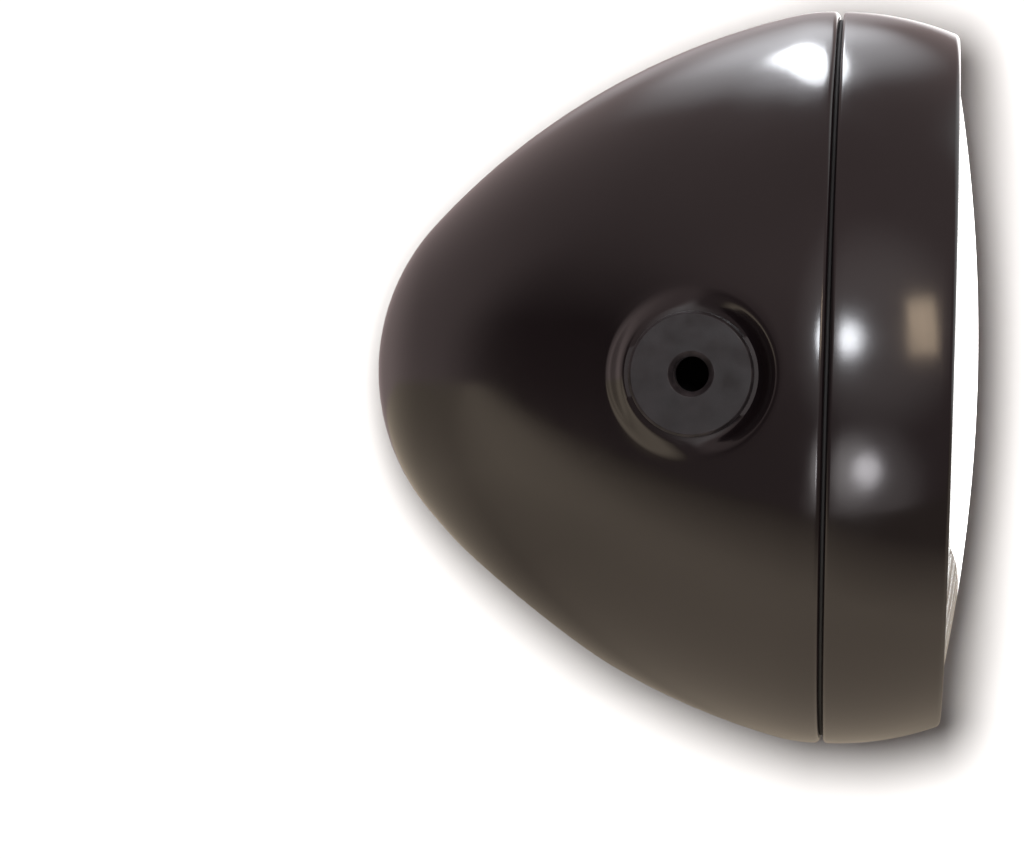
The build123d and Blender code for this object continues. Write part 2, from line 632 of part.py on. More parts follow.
def bulb_terminals():
    """Three flat blades behind the insulator."""
    blade = Pos(INSULATOR_BACK - BLADE_LENGTH / 2, 0, BLADE_OFFSET)
    blade *= Box(BLADE_LENGTH, BLADE_WIDTH, BLADE_THICKNESS) - Cylinder(BLADE_HOLE / 2, BLADE_LENGTH)
    return BULB * Compound([solid for turn in (0, 90, -90) for solid in (Rot(turn, 0, 0) * blade).solids()])


def lead(start, end, y, z):
    """Straight wire along X."""
    return Pos((start + end) / 2, y, z) * Rot(0, 90, 0) * Cylinder(LEAD_DIAMETER / 2, end - start)


def filament(centre, z):
    """One coil across the two leads that carry it."""
    coil = Pos(centre, 0, z) * Rot(90, 0, 0) * Cylinder(COIL_DIAMETER / 2, COIL_LENGTH)
    for y in (-COIL_SPREAD, COIL_SPREAD):
        coil += lead(PLUG_FRONT, centre, y, z)
    return coil


def bulb_filaments():
    coils = [filament(BULB_LIGHT_CENTRE + step, z) for step, z in ((COIL_OFFSET, COIL_DIAMETER),
                                                                   (-COIL_OFFSET, -COIL_DIAMETER))]
    return BULB * Compound([solid for coil in coils for solid in coil.solids()])


def bulb_shield():
    """Bent shield under the upper coil, on its own wire."""
    middle = SHIELD_RADIUS - SHIELD_WALL / 2
    arc = CenterArc((0, 0), middle, -90 - SHIELD_ARC / 2, SHIELD_ARC)
    band = Plane.YZ * trace(arc, SHIELD_WALL)
    start = BULB_LIGHT_CENTRE - SHIELD_LENGTH / 2
    cup = Pos(start, 0, 0) * extrude(band, SHIELD_LENGTH)
    return BULB * (cup + lead(PLUG_FRONT, start + SHIELD_LENGTH / 2, 0, -middle))


# Spring, boot and pilot light


SPRING_X = -BULB_FLANGE_THICKNESS - SPRING_WIRE / 2 - SPRING_GAP


def bulb_spring():
    """Wire loop that presses on the bulb's flange, with its two ends side by side in the hinge."""
    half = [(SPRING_SPLIT, SPRING_REACH), (SPRING_END, SPRING_REACH), (SPRING_HALF_WIDTH, SPRING_SHOULDER),
            (SPRING_HALF_WIDTH, -SPRING_SHOULDER), (SPRING_END, -SPRING_REACH)]
    route = half + [(-y, z) for y, z in reversed(half)]
    path = FilletPolyline(*[(SPRING_X, y, z) for y, z in route], radius=SPRING_BEND)
    return BULB * sweep(Plane(path @ 0, z_dir=path % 0) * Circle(SPRING_WIRE / 2), path)


def spring_holder(width, *tail):
    """Strip that stands on the bulb's seat and bends over the wire."""
    hump = SPRING_WIRE / 2 + HOLDER_GAP
    rise = -SPRING_X - HOLDER_BEND
    start = SPRING_REACH + hump + HOLDER_BEND + HOLDER_FOOT
    section = sheet((start, 0), 180, HOLDER_FOOT, (HOLDER_BEND, -90), rise, (hump, 180), *tail,
                    wall=-HOLDER_WALL)
    stand = Plane(origin=(0, 0, 0), x_dir=(0, 0, 1), z_dir=(0, -1, 0))
    return extrude(stand * section, width / 2, both=True)


def spring_hinge():
    rise = -SPRING_X - HOLDER_BEND
    return BULB * spring_holder(HINGE_WIDTH, rise, (HOLDER_BEND, -90), HOLDER_FOOT)


def spring_catch():
    return BULB * Rot(180, 0, 0) * spring_holder(CATCH_WIDTH, CATCH_LIP)


def bulb_boot():
    """Rubber cover that grips the edge of the seat and the bulb's insulator."""
    seat = BULB_SEAT_R + BOOT_GAP
    cavity = seat - BOOT_GRIP
    outer = seat + BOOT_WALL
    front = REFLECTOR_WALL + BOOT_LIP
    collar = INSULATOR_DIAMETER / 2 + BOOT_GAP
    barrel = BULB_BARREL_DIAMETER / 2 + BOOT_BARREL_GAP
    collar_front = BULB_BACK - BOOT_GAP
    collar_back = collar_front - BOOT_COLLAR_LENGTH
    outside = [(front, cavity), (front, outer), (-BOOT_STRAIGHT - BOOT_WALL, outer),
               (collar_front - BOOT_WALL, barrel + BOOT_WALL), (collar_back, collar + BOOT_WALL)]
    inside = [(collar_back, collar), (collar_front, collar), (collar_front, barrel),
              (-BOOT_STRAIGHT, cavity), (0, cavity), (0, seat), (REFLECTOR_WALL, seat),
              (REFLECTOR_WALL, cavity)]
    return BULB * spun_points(*outside, *inside)


def pilot_holder(bowl):
    """Rubber plug that takes the form of the reflector round its hole."""
    lip = PILOT_LIP_DIAMETER / 2
    body = PILOT_HOLE_DIAMETER / 2
    bore = PILOT_BULB_DIAMETER / 2 + PILOT_GAP
    floor = PILOT_BULB_SEATING + PILOT_GAP
    plug = spun_points((-PILOT_LIP_FRONT, bore), (-PILOT_LIP_FRONT, lip), (PILOT_LIP_REAR, lip),
                       (PILOT_LIP_REAR, body), (PILOT_BODY_LENGTH, body), (PILOT_BODY_LENGTH, 0), (floor, 0),
                       (floor, bore))
    return PILOT * plug - bowl


def pilot_bulb():
    bulb = capsule(PILOT_BULB_DIAMETER / 2, PILOT_BULB_WALL, -PILOT_BULB_SEATING, PILOT_BULB_LENGTH)
    return PILOT * Rot(0, 180, 0) * bulb


def all_pieces():
    bowl = reflector()
    pieces = {
        "shell": shell(),
        "left_mount_insert": mount_insert(SIDES["left"]),
        "right_mount_insert": mount_insert(SIDES["right"]),
        "cable_grommet": cable_grommet(),
        "rim": rim(),
        "rim_seal": rim_seal(),
        "rim_hook": rim_hook(),
        "rim_screw": rim_screw(),
        "clamp_bracket": clamp_bracket(),
        "clamp_nut": clamp_nut(),
        "lens": lens(),
        "lens_gasket": lens_gasket(),
        "lens_seal": lens_seal(),
        "reflector": bowl,
        "bulb_base": bulb_base(),
        "bulb_glass": bulb_glass(),
        "bulb_insulator": bulb_insulator(),
        "bulb_terminals": bulb_terminals(),
        "bulb_filaments": bulb_filaments(),
        "bulb_shield": bulb_shield(),
        "bulb_spring": bulb_spring(),
        "spring_hinge": spring_hinge(),
        "spring_catch": spring_catch(),
        "bulb_boot": bulb_boot(),
        "pilot_holder": pilot_holder(bowl),
        "pilot_bulb": pilot_bulb(),
    }
    for number, angle in enumerate(CLIP_ANGLES, start=1):
        pieces[f"unit_clip_{number}"] = unit_clip(angle)
    return pieces


os.makedirs("parts", exist_ok=True)
for node, piece in all_pieces().items():
    export_step(piece, f"parts/{node}.step")
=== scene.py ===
import math

import bmesh
import bpy
from bpy.props import FloatProperty, FloatVectorProperty, IntProperty, PointerProperty
from bpy.types import Operator, Panel, PropertyGroup
from mathutils import Matrix, Vector


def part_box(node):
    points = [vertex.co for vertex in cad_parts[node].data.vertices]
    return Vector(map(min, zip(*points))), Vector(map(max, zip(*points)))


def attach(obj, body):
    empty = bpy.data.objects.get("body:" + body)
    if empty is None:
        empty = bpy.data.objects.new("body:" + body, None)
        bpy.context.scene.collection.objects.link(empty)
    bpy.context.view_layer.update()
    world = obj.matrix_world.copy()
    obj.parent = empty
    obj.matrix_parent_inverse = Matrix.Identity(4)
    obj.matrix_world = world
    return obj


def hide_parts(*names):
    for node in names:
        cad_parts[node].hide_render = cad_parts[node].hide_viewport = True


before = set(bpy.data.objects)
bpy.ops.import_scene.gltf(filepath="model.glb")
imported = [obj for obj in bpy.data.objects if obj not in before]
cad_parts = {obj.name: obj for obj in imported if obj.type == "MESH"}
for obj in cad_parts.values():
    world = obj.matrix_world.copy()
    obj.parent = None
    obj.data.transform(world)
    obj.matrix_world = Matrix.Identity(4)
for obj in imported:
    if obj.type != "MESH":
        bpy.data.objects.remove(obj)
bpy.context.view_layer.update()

bl_info = {
    "name": "Round headlight",
    "version": (1, 0, 0),
    "blender": (4, 5, 0),
    "location": "View3D > Sidebar > Headlight",
    "description": "Builds a painted round headlight and the studio it stands in",
    "category": "Object",
}

# The lamp's axis is X and points forward, Z is up, and the side mounts lie on Y through the origin.
MM = 0.001
MERGE = 0.001 * MM              # points nearer than this are one point
SHARP = math.radians(32)        # edges that bend more stay crisp
ARC_STEP = math.radians(9)      # largest turn of one step round a bend
ROW = 2.3 * MM                  # longest step along a profile
SUPPORT = 0.12 * MM             # extra row next to the end of a straight run

SHELL_LOW, SHELL_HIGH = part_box("shell")
RIM_LOW, RIM_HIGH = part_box("rim")
SEAL_LOW, SEAL_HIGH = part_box("rim_seal")
LENS_LOW, LENS_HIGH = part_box("lens")
GASKET_LOW, GASKET_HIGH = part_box("lens_gasket")
BOWL_LOW, BOWL_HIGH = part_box("reflector")
INSERT_LOW, INSERT_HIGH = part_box("right_mount_insert")
BASE_LOW, BASE_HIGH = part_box("bulb_base")
GLASS_LOW, GLASS_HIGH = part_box("bulb_glass")
COIL_LOW, COIL_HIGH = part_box("bulb_filaments")
SCREW_LOW, SCREW_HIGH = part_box("rim_screw")
BOWL_MOUTH = LENS_HIGH.z - 10.5 * MM
PILOT_SHARE = 0.658             # place of the pilot light, as a share of that radius


def length(name, description, default):
    return FloatProperty(name=name, description=description, default=default, unit="LENGTH",
                         precision=5)


def angle(name, description, degrees):
    return FloatProperty(name=name, description=description, default=math.radians(degrees),
                         subtype="ANGLE")


def colour(name, description, *values):
    return FloatVectorProperty(name=name, description=description, default=values, size=3,
                               subtype="COLOR", min=0.0, soft_max=1.0)


def count(name, description, default):
    return IntProperty(name=name, description=description, default=default, min=3)


class ShellSizes(PropertyGroup):
    """Sizes of the painted shell."""
    front: length("Front", "Place of the front flange on the lamp's axis", SHELL_HIGH.x)
    nose: length("Nose", "Place of the rear tip on the lamp's axis", SHELL_LOW.x)
    radius: length("Radius", "Largest radius, at the seam", SHELL_HIGH.z)
    wall: length("Wall", "Thickness of the sheet", 1.0 * MM)
    flange: length("Flange", "Width of the turned-in front flange", 9.5 * MM)
    edge_radius: length("Edge radius", "Bend at the front edge", 1.6 * MM)
    shoulder_radius: length("Shoulder radius", "Profile just behind the seam", 40 * MM)
    shoulder_angle: angle("Shoulder angle", "Turn of the shoulder", 14.2)
    nose_radius: length("Nose radius", "Round rear end of the profile", 56.3 * MM)
    columns: count("Columns", "Steps round the lamp", 240)
    seat_height: length("Seat height", "Flat of the side seats from the lamp's axis",
                        -INSERT_LOW.y - 2 * MM)
    seat_flat: length("Seat flat", "Radius of the flat of a side seat", 16.2 * MM)
    seat_blend: length("Seat blend", "Radius where a side seat has run out into the shell",
                       21.6 * MM)
    seat_hole: length("Seat hole", "Radius of the hole for the mount", 9.1 * MM)
    entry_angle: angle("Entry angle", "Lean of the cable entry from straight down to the rear", 37)
    entry_level: length("Entry level",
                        "Broad flat round the cable entry, below the round of the shell", 1.8 * MM)
    entry_bend: length("Entry bend", "Height over which the round runs into that flat", 0.4 * MM)
    entry_depth: length("Entry depth", "Floor of the cable entry below the flat", 1.6 * MM)
    entry_flat: length("Entry floor", "Radius of the floor of the cable entry", 12.8 * MM)
    entry_blend: length("Entry blend", "Radius where the cable entry meets the flat", 14.6 * MM)
    entry_hole: length("Entry hole", "Radius of the hole for the grommet", 9.0 * MM)


class RimSizes(PropertyGroup):
    """Sizes of the rim, its seal and its screw."""
    rear: length("Rear", "Place of the rear return on the lamp's axis", RIM_LOW.x)
    front: length("Front", "Place of the front face on the lamp's axis", RIM_HIGH.x)
    radius: length("Radius", "Largest radius, at the seam", RIM_HIGH.z)
    wall: length("Wall", "Thickness of the sheet", 1.0 * MM)
    crown_radius: length("Crown radius", "Profile of the crowned side", 77 * MM)
    rear_radius: length("Rear radius", "Bend at the rear edge", 1.2 * MM)
    front_radius: length("Front radius", "Bend at the front edge", 2.0 * MM)
    hem_radius: length("Hem radius", "Rolled edge round the lens", 1.5 * MM)
    return_radius: length("Return radius", "Inner edge of the rear return", BOWL_HIGH.z + 0.6 * MM)
    open_radius: length("Opening", "Radius of the opening for the lens", LENS_HIGH.z - 6.6 * MM)
    columns: count("Columns", "Steps round the lamp", 240)
    screw_place: length("Screw place", "Screw on the lamp's axis", (SCREW_LOW.x + SCREW_HIGH.x) / 2)
    head_radius: length("Head radius", "Screw head", (SCREW_HIGH.x - SCREW_LOW.x) / 2)
    shank_radius: length("Shank radius", "Screw shank", 2.5 * MM)
    slot_width: length("Slot", "Width of the screw's slot", 1.2 * MM)


class InsertSizes(PropertyGroup):
    """Sizes of the two threaded side mounts."""
    face: length("Face", "Outer face from the lamp's axis", -INSERT_LOW.y)
    back: length("Back", "Inner end from the lamp's axis", -INSERT_HIGH.y)
    flange_radius: length("Flange radius", "Disc that shows on the seat", INSERT_HIGH.x)
    flange_thickness: length("Flange thickness", "Disc above the seat", 2.0 * MM)
    spigot_radius: length("Spigot radius", "Part inside the shell", 9.0 * MM)
    edge: length("Edge", "Chamfer round the disc", 0.6 * MM)
    bore: length("Bore", "Radius of the hole at the crests of the thread", 4.3 * MM)
    chamfer: length("Chamfer", "At the mouth of the hole", 1.2 * MM)
    thread_depth: length("Thread depth", "From crest to root", 0.68 * MM)
    pitch: length("Pitch", "Of the thread", 1.25 * MM)


class LensSizes(PropertyGroup):
    """Sizes of the fluted lens."""
    back: length("Back", "Rear face on the lamp's axis", LENS_LOW.x)
    apex: length("Apex", "Middle of the dome on the lamp's axis", LENS_HIGH.x)
    radius: length("Radius", "Over the flange", LENS_HIGH.z)
    curve: length("Curve", "Radius of the dome", 422 * MM)
    wall: length("Wall", "Thickness at the ridges", 4.0 * MM)
    shoulder: length("Shoulder", "Bend between dome and skirt", 3.0 * MM)
    skirt: length("Skirt", "Straight side in front of the flange", 1.2 * MM)
    flange_width: length("Flange width", "Rim of the lens", 7.4 * MM)
    flange_thickness: length("Flange thickness", "Rim of the lens", 3.2 * MM)
    pitch: length("Flute pitch", "Width of one flute", 10 * MM)
    depth: length("Flute depth", "At the middle of a flute", 0.8 * MM)
    band: length("Band height", "Of the panels of flutes", 42.7 * MM)
    columns: count("Columns", "Steps round the lens", 120)


class UnitSizes(PropertyGroup):
    """Sizes of reflector, bulb and pilot light."""
    seat: length("Bulb seat", "Place of the bulb's seat on the lamp's axis", BOWL_LOW.x)
    cup_edge: length("Cup edge", "Front edge of the cup on the lamp's axis", BOWL_HIGH.x)
    cup_radius: length("Cup radius", "Cup that holds the lens", BOWL_HIGH.z)
    wall: length("Wall", "Thickness of the bowl", 1.0 * MM)
    focal_length: length("Focal length", "Of the bowl", 27.5 * MM)
    vertex: length("Vertex", "Of the bowl on the lamp's axis", BOWL_LOW.x + 1.5 * MM)
    mouth: length("Mouth", "Radius of the bowl's mouth", BOWL_MOUTH)
    neck: length("Neck", "Radius of the hole for the bulb", 19.4 * MM)
    seat_radius: length("Seat radius", "Disc behind the bowl", 36 * MM)
    columns: count("Columns", "Steps round the bowl", 144)
    pilot_radius: length("Pilot radius", "Pilot light from the axis", PILOT_SHARE * BOWL_MOUTH)
    pilot_hole: length("Pilot hole", "Radius of its hole", 6.5 * MM)
    pilot_lip: length("Pilot lip", "Radius of the holder's lip", 8.0 * MM)
    pilot_bulb: length("Pilot bulb", "Radius of its glass", 4.3 * MM)


class Finishes(PropertyGroup):
    """Colours of the lamp."""
    paint: colour("Paint", "Gloss paint of shell and rim", 0.0072, 0.0051, 0.0058)
    mount: colour("Mounts", "Moulded side mounts", 0.0105, 0.009, 0.0099)
    rubber: colour("Rubber", "Seals, grommet and boots", 0.016, 0.0155, 0.015)
    glass: colour("Glass", "Lens and bulbs", 0.985, 0.995, 0.99)
    mirror: colour("Mirror", "Coating of the bowl", 0.9, 0.9, 0.91)
    zinc: colour("Zinc", "Plated steel", 0.58, 0.58, 0.55)
    spring: colour("Spring steel", "Clips and wire", 0.34, 0.33, 0.32)
    brass: colour("Tinned brass", "Terminals", 0.72, 0.67, 0.52)
    plastic: colour("Plastic", "Insulator of the bulb", 0.025, 0.022, 0.02)


class StudioSettings(PropertyGroup):
    """Camera, floor and lights."""
    eye: FloatVectorProperty(name="Eye", description="Place of the camera", size=3, unit="LENGTH",
                             default=(0.0491, -1.07, -0.0003))
    yaw: angle("Yaw", "Camera to the right of the lamp's side", -5.34)
    pitch: angle("Pitch", "Camera upwards", -0.822)
    roll: angle("Roll", "Camera about its own axis", 1.566)
    focal_length: FloatProperty(name="Focal length", description="Of the camera, in millimetres",
                                default=143.8, unit="CAMERA")
    floor_height: length("Floor", "Height of the floor", -95.4 * MM)
    floor_front: length("Floor front", "Front edge of the floor", -0.158)
    backdrop: length("Backdrop", "Sheet behind the lamp that takes its shadow", 0.13)
    floor: colour("Floor colour", "Pale sheet on the floor", 1.0, 0.84, 0.66)
    room: FloatProperty(name="Room light", description="Level of the light from all round",
                        default=1.0, min=0.0, subtype="FACTOR", soft_max=2.0)


# Meshes


def path(start, heading, *moves):
    """Points of a smooth path. A move is a length, or (radius, turn) with left turns positive."""
    point = Vector(start)
    heading = math.radians(heading)
    points = [point]
    for move in moves:
        along = Vector((math.cos(heading), math.sin(heading)))
        if isinstance(move, tuple):
            radius, turn = move[0], math.radians(move[1])
            steps = max(math.ceil(abs(turn) / ARC_STEP), math.ceil(radius * abs(turn) / ROW))
            inward = Vector((-along.y, along.x)) * math.copysign(radius, turn)
            centre = point + inward
            points += [centre + Matrix.Rotation(turn * step / steps, 2) @ -inward
                       for step in range(1, steps + 1)]
            heading += turn
        else:
            inner = [SUPPORT, move - SUPPORT] if move > 4 * SUPPORT else []
            points += [point + along * place for place in inner + [move]]
        point = points[-1]
    return points


def lathe(points, columns, closed=False):
    """Mesh of a profile of (x, radius) points, spun about the lamp's axis."""
    bm = bmesh.new()
    verts = [bm.verts.new((x, 0, radius)) for x, radius in points]
    ends = verts[1:] + verts[:1] if closed else verts[1:]
    edges = [bm.edges.new(pair) for pair in zip(verts, ends)]
    bmesh.ops.spin(bm, geom=verts + edges, cent=(0, 0, 0), axis=(1, 0, 0), angle=math.tau,
                   steps=columns, use_merge=True)
    bmesh.ops.remove_doubles(bm, verts=bm.verts, dist=MERGE)
    bmesh.ops.recalc_face_normals(bm, faces=bm.faces)
    return bm


def crisp_edges(bm):
    return [edge for edge in bm.edges
            if len(edge.link_faces) == 2 and edge.calc_face_angle() > SHARP]


def soften(bm, width, segments=2):
    """Rounds every crisp edge."""
    bmesh.ops.bevel(bm, geom=crisp_edges(bm), offset=width, offset_type="OFFSET", segments=segments,
                    profile=0.5, affect="EDGES", clamp_overlap=True, material=-1)
    return bm


def shade(bm):
    for face in bm.faces:
        face.smooth = True
    for edge in bm.edges:
        edge.smooth = len(edge.link_faces) == 2 and edge.calc_face_angle() <= SHARP


def join(bm, other, place=Matrix.Identity(4)):
    """Adds another mesh to this one, moved by a matrix."""
    other.transform(place)
    mesh = bpy.data.meshes.new("joined")
    other.to_mesh(mesh)
    other.free()
    bm.from_mesh(mesh)
    bpy.data.meshes.remove(mesh)
    return bm


def linked(name, bm):
    """Object of a mesh, in the scene."""
    mesh = bpy.data.meshes.new(name)
    bm.to_mesh(mesh)
    bm.free()
    made = bpy.data.objects.new(name, mesh)
    bpy.context.scene.collection.objects.link(made)
    return made


def carve(bm, cutter):
    """The first mesh with the second one taken away."""
    body, tool = linked("cut", bm), linked("cut", cutter)
    cut = body.modifiers.new("cut", "BOOLEAN")
    cut.operation, cut.solver, cut.object = "DIFFERENCE", "EXACT", tool
    result = body.evaluated_get(bpy.context.evaluated_depsgraph_get())
    left = bmesh.new()
    left.from_mesh(result.to_mesh())
    result.to_mesh_clear()
    for made in (body, tool):
        mesh = made.data
        bpy.data.objects.remove(made)
        bpy.data.meshes.remove(mesh)
    return left


def cut_off(bm, place, out, dist=0.0):
    """Takes away what lies beyond a plane."""
    bmesh.ops.bisect_plane(bm, geom=bm.verts[:] + bm.edges[:] + bm.faces[:], dist=dist,
                           plane_co=place, plane_no=out, clear_outer=True)


def rod(bm, start, end, radius, segments=12):
    """Adds a round bar between two points."""
    axis = Vector(end) - Vector(start)
    middle = Matrix.Translation((Vector(start) + Vector(end)) / 2)
    place = middle @ axis.to_track_quat("Z", "Y").to_matrix().to_4x4()
    bmesh.ops.create_cone(bm, cap_ends=True, segments=segments, radius1=radius, radius2=radius,
                          depth=axis.length, matrix=place)


def block(*sizes):
    """Box about the origin."""
    bm = bmesh.new()
    bmesh.ops.create_cube(bm, size=1.0)
    bmesh.ops.scale(bm, verts=bm.verts, vec=sizes)
    return bm


def piece(name, bm, material, slot, *nodes):
    """Makes a mesh a finished piece of the lamp, which stands for the given nodes."""
    shade(bm)
    made = linked(name, bm)
    made.data.materials.append(material)
    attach(made, "root")
    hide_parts(*nodes)
    return made


def crisp_piece(*values):
    """Piece whose flat faces stay flat next to its rounded edges."""
    made = piece(*values)
    made.modifiers.new("even normals", "WEIGHTED_NORMAL").keep_sharp = True


def sheet_wall(made, thickness):
    """Gives a one-sided sheet its thickness, inwards."""
    wall = made.modifiers.new("wall", "SOLIDIFY")
    wall.thickness, wall.offset, wall.use_even_offset = thickness, -1, True


def dress(material, *nodes):
    """Gives frame nodes that keep their shape a finish."""
    for node in nodes:
        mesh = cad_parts[node].data
        mesh.materials.clear()
        mesh.materials.append(material)


# Pressings: a square block of a spun sheet becomes rings about the pressing's own axis

HEIGHT_TRIES = 12               # steps that find the height of a spun surface
SLACK = 0.2                     # share of a cell by which a point of a block may be out of place


def ring_radii(runs):
    """Radius of each ring from the middle out. A run is a number of rings and their reach."""
    radii = [0.0]
    for rings, reach in runs:
        start = radii[-1]
        radii += [start + (reach - start) * step / rings for step in range(1, rings + 1)]
    return radii


def ease(share):
    share = min(max(share, 0.0), 1.0)
    return share * share * (3 - 2 * share)


def flank(share, start=0.14, end=0.4):
    """Straight slope from nought to one, with a short bend first and a longer one last."""
    share = min(max(share, 0.0), 1.0)
    whole = 1 - (start + end) / 2
    if share < start:
        return share ** 2 / (2 * start * whole)
    if share < 1 - end:
        return (share - start / 2) / whole
    return 1 - (1 - share) ** 2 / (2 * end * whole)


def ring_direction(across, along):
    """Unit vector of a point of a square ring, with equal angles between neighbours."""
    if abs(across) >= abs(along):
        turn = math.pi / 4 * along / across + (math.pi if across < 0 else 0)
    else:
        turn = math.pi / 2 - math.pi / 4 * across / along + (math.pi if along < 0 else 0)
    return Vector((math.cos(turn), math.sin(turn)))


def surface_height(place, across, along, radius_at, lean):
    """Height of a spun surface over a point of the plane of a pressing."""
    height = 0.0
    for _ in range(HEIGHT_TRIES):
        point = place @ Vector((across, along, height))
        height -= (math.hypot(point.y, point.z) - radius_at(point.x)) * lean
    return height


def press(bm, place, grid, cuts, runs, radius_at, shape):
    """Presses a block of a spun sheet. place has Z along the pressing's axis, X along the lamp and
    Y round it; grid gives a point's place in the block, from -1 to 1; shape gives the height from
    the distance to the axis and the height of the sheet before. Of the runs of rings, the first one
    is the hole, and the last one goes from round to square."""
    radii = ring_radii(runs)
    last = len(radii) - 1
    hole_rings, round_rings = runs[0][0], last - runs[-1][0]
    inside = {vert for vert in bm.verts if max(map(abs, grid(vert.co))) < 1 + SLACK / last}
    edges = {edge for face in bm.faces if inside.issuperset(face.verts) for edge in face.edges}
    bmesh.ops.subdivide_edges(bm, edges=list(edges), cuts=cuts, use_grid_fill=True)
    lean = math.hypot(*place.col[2].yz)
    flatten = place.inverted()
    spare = []
    for vert in bm.verts:
        across, along = (round(share * last) for share in grid(vert.co))
        ring = max(abs(across), abs(along))
        if ring >= last:
            continue
        if ring < hole_rings:
            spare.append(vert)
            continue
        roundness = 1 - ease((ring - round_rings) / (last - round_rings))
        flat = (flatten @ vert.co).xy
        flat = flat.lerp(ring_direction(across, along) * radii[ring], roundness)
        height = surface_height(place, flat.x, flat.y, radius_at, lean)
        vert.co = place @ Vector((flat.x, flat.y, shape(flat.length, height)))
    bmesh.ops.delete(bm, geom=spare, context="VERTS")


# Materials


class Nodes:
    """Short ways to add shader nodes to a tree."""

    def __init__(self, tree):
        self.tree = tree

    def node(self, kind, inputs, output=0, **settings):
        """Adds a node and gives one of its outputs. Inputs are values or other nodes' outputs."""
        made = self.tree.nodes.new(kind)
        for name, value in settings.items():
            setattr(made, name, value)
        for key, value in inputs.items():
            if isinstance(value, bpy.types.NodeSocket):
                self.tree.links.new(value, made.inputs[key])
            else:
                made.inputs[key].default_value = value
        return None if output is None else made.outputs[output]

    def between(self, value, low, high, start=0.3, end=0.7, **settings):
        """Spreads a value from start to end over low to high."""
        return self.node("ShaderNodeMapRange", {"Value": value, "From Min": start, "From Max": end,
                                                "To Min": low, "To Max": high}, **settings)

    def eased(self, value, low, high, start, end):
        """The same, slow at both ends."""
        return self.between(value, low, high, start, end, interpolation_type="SMOOTHSTEP")

    def blend(self, share, first, second):
        """Colour between two plain colours or sockets."""
        return self.node("ShaderNodeMix", {0: share, 6: first, 7: second}, 2, data_type="RGBA")

    def reckon(self, operation, *values):
        """One step of arithmetic."""
        return self.node("ShaderNodeMath", dict(enumerate(values)), operation=operation)

    def measure(self, operation, *vectors):
        """Number that comes out of one or two vectors."""
        return self.node("ShaderNodeVectorMath", dict(enumerate(vectors)), "Value",
                         operation=operation)

    def times(self, first, second):
        return self.reckon("MULTIPLY", first, second)

    def axes(self, place):
        """The X, Y and Z of a place."""
        return self.node("ShaderNodeSeparateXYZ", {0: place}).node.outputs


class Finish(Nodes):
    """A procedural material on object coordinates round one Principled shader."""

    def __init__(self, name, colour, roughness, metallic=0.0):
        self.material = bpy.data.materials.new(name)
        self.material.use_nodes = True
        super().__init__(self.material.node_tree)
        self.shader = self.tree.nodes["Principled BSDF"]
        self.place = self.node("ShaderNodeTexCoord", {}, "Object")
        self.set("Base Color", (*colour, 1.0))
        self.set("Roughness", roughness)
        self.set("Metallic", metallic)

    def set(self, socket, value):
        if isinstance(value, bpy.types.NodeSocket):
            self.tree.links.new(value, self.shader.inputs[socket])
        else:
            self.shader.inputs[socket].default_value = value

    def noise(self, scale, detail=3.0):
        return self.node("ShaderNodeTexNoise", {"Vector": self.place, "Scale": scale,
                                                "Detail": detail})

    def clouded(self, colour, darker, paler, scale, detail):
        """Cloudy colour between two shades of a plain one."""
        cloud = self.between(self.noise(scale, detail), 0.0, 1.0)
        return self.blend(cloud, shade_of(colour, darker), shade_of(colour, paler))

    def uneven(self, low, high, scale, detail=3.0):
        """Roughness that differs from place to place."""
        self.set("Roughness", self.between(self.noise(scale, detail), low, high))

    def grain(self, depth, scale, detail=2.0):
        """Grain that raises the surface by at most depth, in metres."""
        bump = {"Height": self.noise(scale, detail), "Strength": 1.0, "Distance": depth}
        self.set("Normal", self.node("ShaderNodeBump", bump))


def shade_of(colour, factor):
    return (*(channel * factor for channel in colour), 1.0)


DUST = (0.22, 0.21, 0.2, 1.0)
DUST_CELLS = 70.0               # cells to a metre, of which some hold a speck
GLASS_INDEX = 1.5
RUBBED_EDGE = 14.1 * MM, 15.2 * MM      # from the axis of a mount: where the pale edge comes in
MOUTH_GLINT = 5.2 * MM, 6.0 * MM       # and where the pale mouth of its hole, a painted highlight on the chamfer, goes out
RIDGE_HALF = 0.15 * MM, 0.75 * MM       # from the middle of a ridge: where its painted shade goes out
INNER_FACE = 3.0 * MM, 1.5 * MM         # below the dome: where the painted ridge shade goes out


def gloss_paint(colours):
    """Sprayed gloss paint: faint orange peel, cloudy gloss and a few specks of dust."""
    finish = Finish("gloss_black_paint", colours.paint, 0.2)
    speckle = {"Vector": finish.place, "Scale": DUST_CELLS}
    cells = finish.node("ShaderNodeTexVoronoi", speckle, "Distance")
    pick = finish.node("ShaderNodeTexVoronoi", speckle, "Color")
    dust = finish.times(finish.between(cells, 1.0, 0.0, 0.012, 0.02),
                        finish.between(pick, 0.0, 1.0, 0.7, 0.72))
    paint = finish.clouded(colours.paint, 0.85, 1.2, 22.0, 4.0)
    finish.set("Base Color", finish.blend(dust, paint, DUST))
    finish.uneven(0.13, 0.19, 55.0, 5.0)
    finish.grain(0.006 * MM, 420.0)
    return finish.material


def from_mount_axis(finish):
    """Distance from the axis of the side mounts."""
    flat = finish.node("ShaderNodeVectorMath", {0: finish.place, 1: (1.0, 0.0, 1.0)},
                       operation="MULTIPLY")
    return finish.measure("LENGTH", flat)


